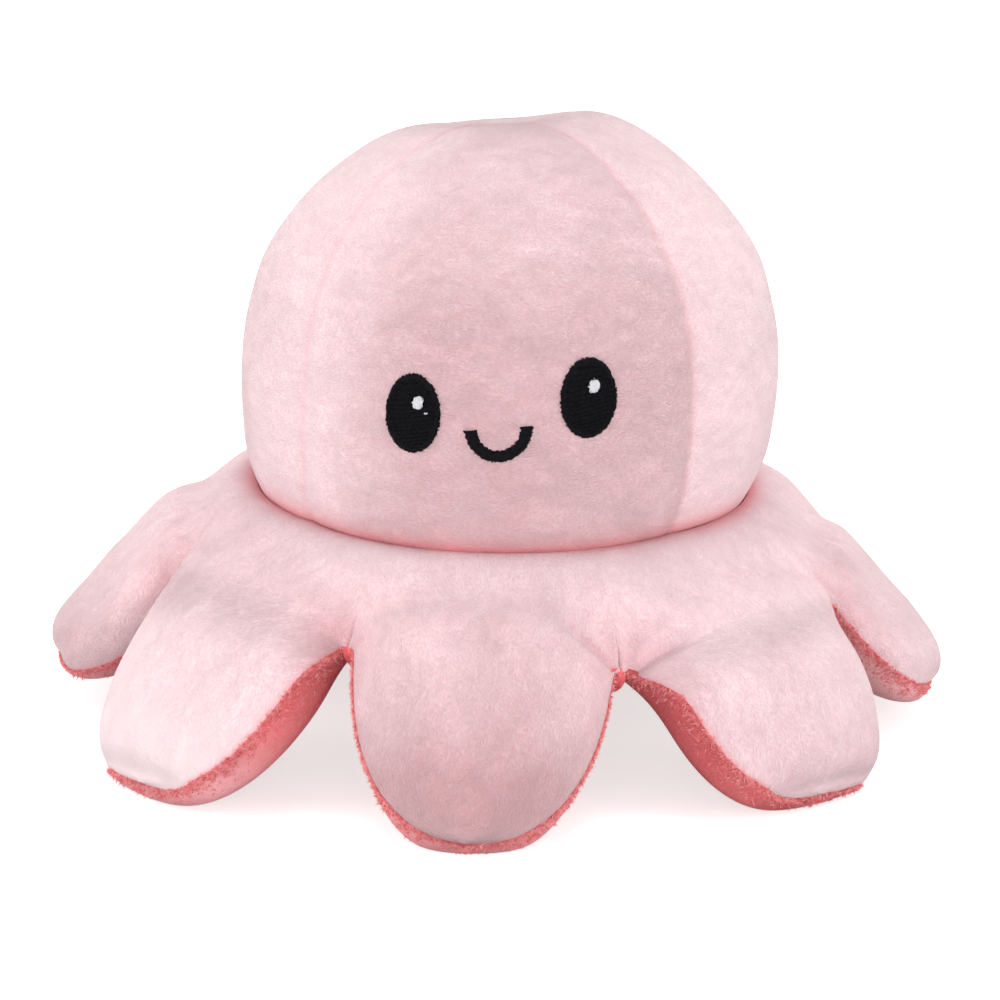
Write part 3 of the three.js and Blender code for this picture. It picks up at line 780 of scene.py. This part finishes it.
def speckled(name, dark, light, scale, positions, looks, bump=None):
    """Loose strands: each a little lighter or darker than the next."""
    material, tree, shader = new_material(name)
    place = wire(tree, "ShaderNodeTexCoord")["Object"]
    noise = wire(tree, "ShaderNodeTexNoise", {"Vector": place, "Scale": scale, "Detail": 2})["Fac"]
    ramp = tree.nodes.new("ShaderNodeValToRGB")
    feed(tree, ramp, {"Fac": noise})
    for element, position, colour in zip(ramp.color_ramp.elements, positions, (dark, light)):
        element.position, element.color = position, colour
    feed(tree, shader, {"Base Color": ramp.outputs["Color"], **looks})
    if bump:
        feed(tree, shader, {"Normal": bumped(tree, noise, *bump)})
    return material


def thread(name, dark, light):
    """Rayon thread: a silky twist with a little colour from strand to strand."""
    looks = {"Roughness": 0.6, "Specular IOR Level": 0.06}
    return speckled(name, dark, light, strands_per_metre, (0.35, 0.75), looks, (0.00008, 0.5))


black_thread = thread("black_thread", thread_black, thread_black_worn)
pale_thread = thread("pale_thread", thread_pale, thread_pale_worn)
sewing_rng = np.random.default_rng(17)
for side, sign in (("left", -1), ("right", 1)):
    centre = face_lean @ (sign * eye_spacing / 2, 0)
    runs = eye_runs(on_face, centre, eye_size)
    underlay = disc(on_face, f"eye_{side}_underlay", centre, eye_size * eye_underlay_share, underlay_lift)
    eye = stitched(f"eye_{side}_stitches", runs, underlay, black_thread)
    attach(eye, "body")
    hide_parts(f"eye_{side}")

    shine = centre + (glint_aside[side], glint_above)
    shine_lift = thread_lift + 2 * thread_radius
    runs = []
    for offset in np.arange(-glint_size[0], glint_size[0], fill_step):
        half = glint_size[1] * (1 - abs(offset / glint_size[0]) ** 3) ** (1 / 3)
        half *= sewing_rng.uniform(0.92, 1.12)
        low, high = shine + (offset, -half), shine + (offset + glint_slant, half)
        runs.append(arched(on_face, low, high, shine_lift + glint_lift))
    if side == "left":
        runs.append(arched(on_face, *(shine + glint_stray), shine_lift))
    underlay = disc(on_face, f"glint_{side}_underlay", shine, glint_underlay, shine_lift)
    glint = stitched(f"eye_glint_{side}_stitches", runs, underlay, pale_thread)
    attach(glint, "body")
    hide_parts(f"eye_glint_{side}")

mouth_centre = face_lean @ (mouth_aside, -mouth_below)
mouth_lines = smile_lines(mouth_centre, mouth_span, mouth_drop, face_lean)
mouth = bar(on_face, "mouth", *mouth_lines, mouth_stroke)
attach(mouth, "body")
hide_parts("mouth")


# Skirt and tentacles, pink side: eight panels that run from the neck over the knee of each
# tentacle to its tip. The cloth folds sharply where two tentacles part, at the notch.
arm_count = 8
arm_step = 2 * math.pi / arm_count
notch_radius = 0.086
notch_height = 0.037
notch_radius_shares = [1, 1.02, 1, 1, 1, 0.98, 0.945, 0.99]
notch_height_shares = [0.92, 0.97, 1, 1.02, 1.02, 1.03, 1.08, 1.05]
notch_turn_shares = [0.05, 0.12, 0, 0, 0, 0, 0, 0.13]
knee_radius = 0.0136
tip_top_depth = 0.011
tip_under_depth = 0.017
pinch_end_share = 0.25
edge_gap = 0.0019
under_knee_share = 0.07
under_belly = 0.0015
under_power = 2.2
top_end_power = 3
under_end_power = 2.3
foot_softness = 0.0015
tip_turn_start = 0.35
arm_shapes = {
    "length": 0.047 * np.array([0.98, 0.955, 0.86, 1.009, 0.993, 1.03, 0.955, 1.09]),
    "slope": np.radians([50.7, 50.8, 50.5, 50.6, 52.8, 50.2, 43.0, 47.1]),
    "pinch": [0, 0.006, 0, 0, 0, 0, 0, 0],
    "outline_power": [2.15, 3, 3, 3, 3, 3, 3, 3],
    "knee_top": knee_radius * np.array([1, 1, 0.62, 0.66, 0.9, 1, 1, 1]),
    "under_depth": tip_under_depth * np.array([1, 1, 0.84, 1, 1, 1, 1, 1]),
    "lift_near": np.radians([6, 22, 0, 0, 0, 0, 0, -34]),
    "lift_far": np.radians([6, -36, 0, 0, 0, 0, -25, 20]),
    "tip_lift": [0.0019, 0.0034, 0.0042, 0.0030, 0.0030, 0.0030, 0.0040, 0.0026],
    "tip_skew": [0, -1.2, -0.6, 0, 0, 0, 0.6, 1.2],
    "tip_turn": [1, 0.6, 1, 1, 1, 1, 1, 0.9],
}
# Nap per tentacle at the skirt, the knee and the tip: it raises the relief, and paints shade where raised
# and light where laid, part by part.
nap_and_shading_at_skirt = [-0.3, -0.25, -0.1, -0.1, -0.1, -0.1, 0.0, -0.1]
nap_and_shading_at_knee = [0.25, -0.05, 0.2, 0, 0, 0, 0.2, 0.3]
nap_and_shading_at_tip = [1.3, 0.3, 0.3, 0.3, 0.3, 0.3, 0.4, -0.95]
coral_nap_and_shading_at_knee = [0.3, 0.7, -0.9, 0, 0, 0, 0, 0.4]
coral_nap_and_shading_at_tip = [-0.5, 0.2, -1.0, -0.4, -0.4, -0.4, -0.8, -0.7]
neck_hump = 0.0030
neck_hump_right = 0.0005
neck_hump_reach = 0.008
skirt_fall = 0.008
# Painted shade in the seam colour round each notch, where the cloth folds into shade.
notch_painted_shade = 0.26
notch_painted_shade_reach = 0.013
notch_reach_share = 0.5
fold_share = 0.85
fold_sharpens = 0.84
fold_outward, fold_down = 0.6, 0.8
fold_start = 0.003
seam_rise_end, seam_fade_start = 0.2, 0.90
tip_row_bunching = 2.6
seam_edge_width, seam_tip_width = 0.0022, 0.0014
edge_seam_mask = 0.3
join_columns = 14
corner_rounds = 10
push_outward, push_up = 0.55, 0.83
panel_lumps = ((0.03, 11, 0.0005), (0.014, 12, 0.00015))
panel_nap_and_shading_lumps = ((0.045, 33, 0.16), (0.018, 34, 0.08))
notch_folds = {
    0: (
        (-0.80, 0.024, 0.0034, 0.0017),
        (-0.35, 0.018, 0.0014, 0.0015),
        (0.55, 0.018, 0.0022, 0.0016),
        (1.25, 0.028, 0.0034, 0.0017),
    ),
    7: (
        (-0.95, 0.012, 0.0016, 0.0016),
        (-0.05, 0.018, 0.0014, 0.0030),
        (1.15, 0.012, 0.0008, 0.0016),
    ),
}


def notch_point(index):
    """The notch between a tentacle and the next one."""
    place = index % arm_count
    angle = -quarter + arm_step * (place + 0.5 + 0.5 * notch_turn_shares[place])
    radius = notch_radius * notch_radius_shares[place]
    height = notch_height * notch_height_shares[place]
    return np.array([radius * math.cos(angle), radius * math.sin(angle), height])


class Arm:
    """One tentacle: its hinge line between two notches, and what the table says of its lobe."""

    def __init__(self, index):
        for name, values in arm_shapes.items():
            setattr(self, name, values[index])
        self.near, self.far = notch_point(index - 1), notch_point(index)
        self.middle = (self.near + self.far) / 2
        self.half_width = np.linalg.norm(self.far - self.near) / 2
        self.axis = (self.far - self.near) / (2 * self.half_width)
        outward = np.cross(self.axis, (0, 0, 1))
        self.outward = outward / np.linalg.norm(outward)
        self.rise = np.cross(self.outward, self.axis)
        self.along = self.outward * math.cos(self.slope) - self.rise * math.sin(self.slope)
        self.up = self.outward * math.sin(self.slope) + self.rise * math.cos(self.slope)

    def point(self, across, out, lift):
        """A place beside the hinge line: along it, outwards from it and above it."""
        steps = ((across, self.axis), (out, self.outward), (lift, self.rise))
        return self.middle + sum(step[..., None] * way for step, way in steps)

    def seam_turns(self, share):
        """Where the seam runs round the lobe on each side: a right angle is its widest line."""
        rise = smooth(0, seam_rise_end, share) * (1 - smooth(seam_fade_start, 1, share))
        return -quarter + self.lift_near * rise, quarter - self.lift_far * rise

    def lobe(self, turn, share):
        """The cloth beyond the knee: turn goes round it from its back, share from hinge to tip."""
        top = np.cos(turn) >= 0
        end_power = np.where(top, top_end_power, under_end_power)
        round_power = np.where(top, 1.0, 2 / under_power)
        tip_depth = np.where(top, tip_top_depth, self.under_depth)
        belly = np.where(top, 0.0, under_belly) * np.sin(math.pi * share)
        pinch = self.pinch / 2 * smooth(0, pinch_end_share, share)
        outline = (1 - share ** self.outline_power) ** (1 / self.outline_power)
        width = (self.half_width - pinch - edge_gap) * outline
        base_depth = np.where(top, self.knee_top, knee_radius)
        depth = base_depth + (tip_depth - base_depth) * share + belly
        swell = depth * np.maximum(1 - share ** end_power, 0) ** (1 / end_power)
        over = np.sign(np.cos(turn)) * swell * np.abs(np.cos(turn)) ** round_power
        aside = pinch + np.sign(np.sin(turn)) * width * np.abs(np.sin(turn)) ** round_power
        along = self.length * share
        under_way = (~top * self.tip_turn * smooth(tip_turn_start, 1, share))[..., None]
        way = self.up * (1 - under_way) + self.rise * under_way
        way /= np.linalg.norm(way, axis=-1, keepdims=True)
        curl = self.tip_lift * share ** 3 * np.maximum(0, 1 + self.tip_skew * aside / self.half_width)
        line = self.middle + along[..., None] * self.along + curl[..., None] * self.rise
        return line + aside[..., None] * self.axis + over[..., None] * way

    def lobe_rows(self, below):
        """The lobe's rows of places between its seams, over its top or below."""
        near, far = self.seam_turns(lobe_shares)
        turn = near + (far - 2 * math.pi * below - near) * panel_shares
        return self.lobe(turn, lobe_shares + 0 * turn)

    def narrowing(self):
        """The half width over the rows of the knee, from the notch to the gap beside the lobe."""
        return self.half_width - edge_gap * smooth(0, 1, np.linspace(0, 1, knee_rows)[:-1, None])


def on_floor(places):
    """Presses the cloth flat where it would sink into whatever the toy stands on."""
    height = places[..., 2]
    places[..., 2] = (height + np.sqrt(height ** 2 + foot_softness ** 2)) / 2 - foot_softness / 8
    places[..., 2] = np.maximum(places[..., 2], 0)
    return places


def bezier(a, b, c, d, share):
    """A place on the curve from a to d that b and c pull on."""
    left = 1 - share
    return a * left ** 3 + 3 * b * left ** 2 * share + 3 * c * left * share ** 2 + d * share ** 3


def eased(rows, rounds):
    """Rounds the corners along each column of a grid, ends kept."""
    for _ in range(rounds):
        rows[1:-1] = rows[1:-1] * 0.5 + (rows[:-2] + rows[2:]) * 0.25
    return rows


def run_length(places):
    """Length along each column of a grid, from its first row."""
    steps = np.linalg.norm(np.diff(places, axis=0), axis=-1)
    return np.concatenate([np.zeros((1, places.shape[1])), np.cumsum(steps, axis=0)])


def run_across(places):
    """Length along each row of a grid, from its first column."""
    return run_length(np.swapaxes(places, 0, 1)).T


def neck_radius_at(angle):
    """How far the head's skin is from its middle line where it meets the skirt."""
    rim = head_point(angle, head_tilt_at(neck_height_at(angle)))
    return np.hypot(rim[..., 0] - head_shift, rim[..., 1])


def level_way(way):
    """Unit directions, level with the floor."""
    way = way * (1, 1, 0)
    return way / np.linalg.norm(way, axis=-1, keepdims=True)


panel_columns, skirt_rows, knee_rows, lobe_rows = 73, 26, 12, 60
panel_shares = np.linspace(0, 1, panel_columns)
panel_across = (panel_shares * 2 - 1) * quarter
panel_aside = smooth(0, 1, np.abs(np.sin(panel_across)))[:, None]
lobe_shares = (1 - (1 - np.linspace(0, 1, lobe_rows)) ** tip_row_bunching)[:, None]
arms = [Arm(index) for index in range(arm_count)]


def neck_ring(arm, radius_at, height_at):
    """Points round the neck or the pocket's mouth, one above each place on the hinge line."""
    line = arm.middle + (arm.half_width * np.sin(panel_across))[:, None] * arm.axis
    angle = np.arctan2(line[:, 1], line[:, 0] - head_shift)
    radius = radius_at(angle)
    ring = np.stack([head_shift + radius * np.cos(angle), radius * np.sin(angle), height_at(angle)], -1)
    return ring, line, level_way(ring - line)


def folds_at(index):
    """Each fold's turn from straight up, its reach, its depth and its width."""
    if index in notch_folds:
        return notch_folds[index]
    rng = np.random.default_rng(40 + index)
    return [
        (fold + rng.uniform(-0.15, 0.15), rng.uniform(0.013, 0.021), rng.uniform(0.0005, 0.0010), 0.0020)
        for fold in (-1.2, -0.1, 1.1)
    ]


def creases(places):
    """Folds that the stitching pulls into the cloth round each notch."""
    pushed = np.zeros(places.shape[:-1])
    for index in range(arm_count):
        notch = notch_point(index)
        outward = np.array([notch[0], notch[1], 0]) / np.hypot(notch[0], notch[1])
        sideways = np.array([-outward[1], outward[0], 0])
        off = places - notch
        across, along = off @ sideways, off @ (outward * fold_outward - (0, 0, fold_down))
        far = np.hypot(across, along)
        turn = np.arctan2(across, -along)
        for middle, reach, depth, width in folds_at(index):
            line = bell((turn - middle) * np.maximum(far, fold_start), width)
            pushed -= depth * line * smooth(0.0, 0.004, far) * (1 - smooth(reach * 0.4, reach, far))
    return pushed


def top_panel(arm):
    """The rows of places of one pink panel, from the neck to the tip."""
    ring, line, inward = neck_ring(arm, neck_radius_at, neck_height_at)
    across, aside, up = panel_across, panel_aside, np.array([0, 0, 1])
    end = arm.point(arm.half_width * np.sin(across), 0 * across, arm.knee_top * np.cos(across))
    corner = np.where(np.sin(across)[:, None] < 0, arm.near, arm.far)
    middle_out, corner_out = np.hypot(*arm.middle[:2]), np.hypot(corner[:, 0], corner[:, 1])[:, None]
    middle_up, corner_up = arm.middle[2] + arm.knee_top, corner[:, 2:] + knee_radius * fold_share
    out = middle_out * (1 - aside) + corner_out * aside
    above = middle_up * (1 - aside) + corner_up * aside
    shoulder = level_way(line) * out + above * up
    toward_right = np.maximum(0, np.cos(np.arctan2(ring[:, 1], ring[:, 0] - head_shift)))[:, None] ** 2
    bulge = neck_hump + (neck_hump_right - neck_hump) * toward_right
    hump = ring - inward * neck_hump_reach + bulge * up
    fall = shoulder + inward * skirt_fall + skirt_fall * 0.2 * up
    valley = smooth(0.3, 1, np.abs(np.sin(across)))[:, None] * -knee_radius * fold_share * up
    skirt = []
    for share in np.linspace(0, 1, skirt_rows)[:-1]:
        drawn_in = max(0, (share - notch_reach_share) / (1 - notch_reach_share)) ** 2
        sharp = smooth(fold_sharpens, 1, share)
        drawn = valley * (1 - sharp) + (end - shoulder) * sharp
        skirt.append(bezier(ring, hump, fall, shoulder, share) + drawn * drawn_in)
    leans = np.linspace(0, -arm.slope, knee_rows)[:-1, None]
    reach = arm.knee_top * np.cos(across)
    knee = arm.point(arm.narrowing() * np.sin(across), -np.sin(leans) * reach, np.cos(leans) * reach)
    return np.concatenate([skirt, knee, arm.lobe_rows(below=False)])


def outward_of(places):
    """Unit normals of a grid of places."""
    normal = np.cross(np.gradient(places, axis=0), np.gradient(places, axis=1))
    return normal / np.maximum(np.linalg.norm(normal, axis=-1, keepdims=True), 1e-12)


def hang_from_skirt(piece):
    """Bakes the piece's placement into its mesh."""
    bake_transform(piece)


def panel_piece(name, places, index, material, turned, nap_and_shading):
    """Cuts one panel out of plush, with its seams marked."""
    arm = arms[index]
    along = run_length(places)
    across = run_across(places)
    across = across - across[:, panel_columns // 2, None]
    edge = np.cos(panel_across)[None, :] * arm.half_width + 0 * along
    past = np.arange(len(places))[:, None] >= len(places) - lobe_rows
    seam_and_shade = np.maximum(bell(edge, seam_edge_width), bell(along[-1:] - along, seam_tip_width)) * past
    # The seam at the neck or the pocket's mouth, with a painted crease shade beside it.
    seam_and_shade = np.maximum(seam_and_shade * edge_seam_mask, neck_seam_and_crease_shade(along))
    # Painted shade round the notches, in the seam colour.
    for corner in (arm.near, arm.far):
        away = np.linalg.norm(places - corner, axis=-1)
        seam_and_shade = np.maximum(seam_and_shade, notch_painted_shade * bell(away, notch_painted_shade_reach))
    name = f"{name}_{index + 1}"
    mesh = grid_mesh(name, places, across, along, seam_and_shade, turned=turned, nap_and_shading=nap_and_shading)
    piece = cloth_piece(name, mesh, material)
    hang_from_skirt(piece)
    return piece


def joined(panels):
    """Brings the edges of neighbouring panels together along the skirt, down to the notch."""
    reach = np.maximum(0, 1 - np.arange(panel_columns) / join_columns)[None, :, None] ** 2
    for index in range(arm_count):
        one, two = panels[index], panels[(index + 1) % arm_count]
        shared = (one[:skirt_rows, -1:] + two[:skirt_rows, :1]) / 2
        one[:skirt_rows] += (shared - one[:skirt_rows, -1:]) * reach[:, ::-1]
        two[:skirt_rows] += (shared - two[:skirt_rows, :1]) * reach
    return panels


def panels_of(shape):
    """The places of all eight panels that one function shapes."""
    return joined(np.array([eased(shape(arm), corner_rounds) for arm in arms]))


def nap_and_shading_down(index, knee, tip, tip_rows):
    """The nap down a panel, which also sets its painted shade and painted light: none at the neck, then
    what the lists say at the knee and the tip.
    """
    count = skirt_rows + knee_rows + lobe_rows - 2
    steps = [0, skirt_rows + knee_rows, count - tip_rows]
    return np.interp(np.arange(count), steps, [0, knee[index], tip[index]])[:, None]


tops = panels_of(top_panel)
skirt_ring = np.concatenate([panel[:skirt_rows, :-1] for panel in tops], axis=1)
around = np.concatenate([skirt_ring[:, -1:], skirt_ring, skirt_ring[:, :1]], axis=1)
ring_normal = closed(outward_of(around)[:, 1:-1])
for index, arm in enumerate(arms):
    places = tops[index]
    push = level_way(places) * push_outward + np.array([0, 0, push_up])
    places = places + push * creases(places)[..., None]
    first = index * (panel_columns - 1)
    normal = outward_of(places)
    normal[:skirt_rows] = ring_normal[:, first:first + panel_columns]
    from_edge = arm.half_width * (1 - np.abs(np.sin(panel_across)))
    rows = np.arange(len(places))
    onto_lobe = smooth(skirt_rows * 0.4, skirt_rows * 0.75, rows)[:, None]
    held = 1 - onto_lobe * np.exp(-from_edge / 0.003)
    lumps = lumpy(places, panel_lumps) * held * smooth(0, 0.006, run_length(places))
    places = on_floor(places + normal * lumps[..., None])
    before, own, after = (nap_and_shading_at_skirt[(index + step) % arm_count] for step in (-1, 0, 1))
    round_skirt = np.interp(panel_shares, [0, 0.5, 1], [(before + own) / 2, own, (after + own) / 2])
    # The nap's painted shade and painted light down the panel and round the skirt.
    nap_and_shading = nap_and_shading_down(index, nap_and_shading_at_knee, nap_and_shading_at_tip, lobe_rows * 0.45)
    nap_and_shading = nap_and_shading + (1 - smooth(0, skirt_rows + knee_rows, rows)[:, None]) * round_skirt
    nap_and_shading = nap_and_shading + lumpy(places, panel_nap_and_shading_lumps)
    piece = panel_piece("tentacle_panel", places, index, pink_plush, turned=True, nap_and_shading=nap_and_shading)
    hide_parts(f"tentacle_top_{index + 1}", f"tentacle_filling_{index + 1}")
    if index == 0:
        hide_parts("collar_top", "collar_filling")


# Underside: eight coral panels of the reverse side, sewn to the pink ones all round the lobes
# and to the pocket's lining at its mouth. They press flat where the toy stands.
mouth_radius = 0.030
mouth_height = 0.037
under_fall = 0.010
web_tuck = 0.002
web_drop = 0.015
coral_nap_and_shading_lumps = ((0.03, 35, 0.2),)


def under_panel(arm):
    """The rows of places of one coral panel, from the pocket's mouth to the tip."""
    ring, _, inward = neck_ring(
        arm, lambda angle: mouth_radius + 0 * angle, lambda angle: mouth_height + 0 * angle,
    )
    round_power = 2 / under_power
    bow = np.cos(panel_across)
    before = -under_knee_share * arm.length * np.linspace(1, 0, knee_rows)[:-1, None] * bow
    under = -knee_radius * bow ** round_power
    side = arm.narrowing() * np.sign(panel_across) * np.abs(np.sin(panel_across)) ** round_power
    knee = arm.middle + side[..., None] * arm.axis + before[..., None] * arm.along
    knee = knee + under[:, None] * arm.up
    end = knee[0]
    first = ring - inward * under_fall
    web = inward * web_tuck - (0, 0, web_drop)
    last = end + (1 - panel_aside) * -arm.along * under_fall + panel_aside * web
    shares = np.linspace(0, 1, skirt_rows)[:-1]
    skirt = np.array([bezier(ring, first, last, end, share) for share in shares])
    return np.concatenate([skirt, knee, arm.lobe_rows(below=True)])


under_places = [on_floor(places) for places in panels_of(under_panel)]
for index, places in enumerate(under_places):
    # The coral nap's painted shade and painted light down the panel.
    nap_and_shading = nap_and_shading_down(index, coral_nap_and_shading_at_knee, coral_nap_and_shading_at_tip, lobe_rows * 0.5)
    nap_and_shading = nap_and_shading + lumpy(places, coral_nap_and_shading_lumps)
    piece = panel_piece("underside_panel", places, index, coral_plush, turned=False, nap_and_shading=nap_and_shading)
    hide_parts(f"tentacle_underside_{index + 1}")
    if index == 0:
        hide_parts("collar_underside")


# Seam fringe: where the two plushes are sewn together round each lobe, the seam catches tufts of
# the coral pile, and they stand out of it this way and that.
tuft_length = 0.0010
tuft_radius = 0.00017
tufts_per_area = 22.0e6
tuft_tip_radius = 0.00003
tuft_lean = 1.2
tuft_turn = 3.1
tuft_least = 0.55
tuft_most = 1.25
fringe_line, fringe_scatter = 0.0010, 0.0035
scatter_share = 0.24
tuft_floor = 0.0001
tuft_patches = 0.005
fibre_dark = (0.84, 0.18, 0.19, 1)
fibre_light = (1.0, 0.44, 0.45, 1)
tufts_per_metre = 900


def tuft_tree():
    """Tufts of pile that stand on a cloth where its fringe mask says so."""
    tree, given, out = new_group("seam tufts", "GeometryNodeTree", (
        ("Cloth", "Geometry"), ("Tufts per Area", "Float"), ("Tuft Length", "Float"),
        ("Tuft Radius", "Float"), ("Seed", "Int"), ("Fibre", "Material"),
    ), (("Tufts", "Geometry"),))
    mask = wire(tree, "GeometryNodeInputNamedAttribute", {"Name": "fringe"}, data_type="FLOAT")
    density = wire(tree, "ShaderNodeMath", {
        0: mask["Attribute"], 1: given["Tufts per Area"],
    }, operation="MULTIPLY")[0]
    scatter = wire(tree, "GeometryNodeDistributePointsOnFaces", {
        "Mesh": given["Cloth"], "Density": density, "Seed": given["Seed"],
    }, distribute_method="RANDOM")
    cone = wire(tree, "GeometryNodeMeshCone", {
        "Vertices": 4, "Radius Top": tuft_tip_radius, "Radius Bottom": given["Tuft Radius"],
        "Depth": given["Tuft Length"],
    })["Mesh"]
    most = (tuft_lean, tuft_lean, tuft_turn)
    lean = wire(tree, "FunctionNodeRandomValue", {
        "Min": [-turn for turn in most], "Max": most, "Seed": given["Seed"],
    }, data_type="FLOAT_VECTOR")["Value"]
    turned = wire(tree, "FunctionNodeRotateRotation", {
        "Rotation": scatter["Rotation"], "Rotate By": lean,
    }, rotation_space="LOCAL")["Rotation"]
    size = wire(tree, "FunctionNodeRandomValue", {
        2: tuft_least, 3: tuft_most, "Seed": given["Seed"],
    }, data_type="FLOAT")[1]
    stand = wire(tree, "GeometryNodeInstanceOnPoints", {
        "Points": scatter["Points"], "Instance": cone, "Rotation": turned, "Scale": size,
    })["Instances"]
    feed(tree, out, {"Tufts": dyed(tree, stand, given["Fibre"])})
    return tree


seam_tufts = tuft_tree()
fibre_looks = {"Roughness": 0.9, "Sheen Weight": 0.3, "Sheen Tint": coral_sheen, **pile_matte}
coral_fibre = speckled("coral_fibre", fibre_dark, fibre_light, tufts_per_metre, (0.35, 0.65), fibre_looks)
for index in range(arm_count):
    places = under_places[index][-knee_rows - lobe_rows:]
    along, across = run_length(places), run_across(places)
    from_edge = np.minimum(across, across[:, -1:] - across)
    reach = np.minimum(from_edge, along[-1:] - along)
    patchy = smooth(-0.5, 0.5, stuffing(places, tuft_patches, 60 + index))
    fringe = bell(reach, fringe_line) + scatter_share * bell(reach, fringe_scatter)
    fringe = fringe * (0.3 + 0.7 * patchy) * smooth(0, 0.004, along)
    cloth = grid_mesh(f"seam_cloth_{index + 1}", places, across, along, fringe)
    mark(cloth, "fringe", fringe)
    tufts = made_by_tree(cloth, seam_tufts, {
        "Tufts per Area": tufts_per_area,
        "Tuft Length": tuft_length,
        "Tuft Radius": tuft_radius,
        "Seed": 7 + index,
        "Fibre": coral_fibre,
    })
    stands = np.zeros(len(tufts.vertices) * 3)
    tufts.vertices.foreach_get("co", stands)
    stands[2::3] = np.maximum(stands[2::3], tuft_floor)
    tufts.vertices.foreach_set("co", stands)
    plain(tufts, coral_fibre)
    piece = placed(f"seam_fringe_{index + 1}", tufts)
    hang_from_skirt(piece)


# Pocket: the head of the reverse side, four coral gores that line the hollow of the pink head
# and are sewn to the underside at the pocket's mouth.
pocket_radius = 0.034
pocket_mid_height = 0.078
pocket_rise = 0.034
pocket_power = 2.2
lining_columns = 160
throat_rows, pocket_rows = 30, 40
lining_seam_mask = 0.35
lining_lumps = ((0.02, 21, 0.0005),)


def throat_radius(height):
    """The hollow widens from the pocket's mouth to its middle."""
    return mouth_radius + (pocket_radius - mouth_radius) * smooth(mouth_height, pocket_mid_height, height)


def lining_point(angle, height, lift=0.0):
    """The lining's face, which looks towards the hollow: lift goes into the hollow."""
    rise = np.clip((height - pocket_mid_height) / pocket_rise, 0, 1)
    crown = pocket_radius * np.maximum(1 - rise ** pocket_power, 0) ** (1 / pocket_power)
    radius = np.where(height < pocket_mid_height, throat_radius(height), crown)
    groove = groove_depth * bell(from_seam(angle) * (radius + pole_radius), groove_width)
    radius = np.maximum(radius - lift + groove * smooth(0.002, 0.01, radius), 0)
    return leaning(np.stack([radius * np.cos(angle), radius * np.sin(angle), height + 0 * angle], -1))


throat_heights = np.linspace(mouth_height, pocket_mid_height, throat_rows, endpoint=False)
crown_share = np.sin(np.linspace(0, quarter, pocket_rows)) ** (2 / pocket_power)
lining_heights = np.concatenate([throat_heights, pocket_mid_height + pocket_rise * crown_share])[:, None]
lining_angle = np.linspace(back_seam, back_seam + 2 * math.pi, lining_columns, endpoint=False)
lining_angle = lining_angle + 0 * lining_heights
lumps = lumpy(lining_point(lining_angle, lining_heights), lining_lumps)
lumps = lumps * smooth(0, 0.006, lining_heights - mouth_height)
lining_places = lining_point(lining_angle, lining_heights, lumps)
lining_seam = bell(from_seam(lining_angle) * pocket_radius, seam_mask_width) * lining_seam_mask
lining_mesh = grid_mesh(
    "pocket_lining", lining_places, lining_angle * pocket_radius, run_length(lining_places), lining_seam,
    ring=True, turned=True,
)
lining = cloth_piece("pocket_lining", lining_mesh, coral_plush)
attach(lining, "body")
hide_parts("lining_panel_front", "lining_panel_right", "lining_panel_back", "lining_panel_left")


# Face of the reverse side: two closed eyes and a small mouth, stitched on the lining in the same
# black thread. They look into the pocket until the toy is turned.
reverse_face_height = pocket_mid_height + 0.004
reverse_eye_spacing = 0.022
reverse_eye_span = 0.008
reverse_eye_drop = 0.0032
reverse_mouth_span = 0.006
reverse_mouth_drop = 0.0024
reverse_mouth_below = 0.007
reverse_stroke = 0.0018


def on_lining(aside, above, lift):
    """A place on the lining, measured along it from the middle of the reverse face."""
    return lining_point(-quarter + aside / pocket_radius, reverse_face_height + above, lift)


for name, centre, span, drop in (
    ("reverse_eye_left", (reverse_eye_spacing / 2, 0.0), reverse_eye_span, reverse_eye_drop),
    ("reverse_eye_right", (-reverse_eye_spacing / 2, 0.0), reverse_eye_span, reverse_eye_drop),
    ("reverse_mouth", (0.0, -reverse_mouth_below), reverse_mouth_span, reverse_mouth_drop),
):
    lines = smile_lines(np.array(centre), span, drop, np.eye(2))
    stroke = bar(on_lining, name, *lines, reverse_stroke)
    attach(stroke, "body")
    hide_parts(name)
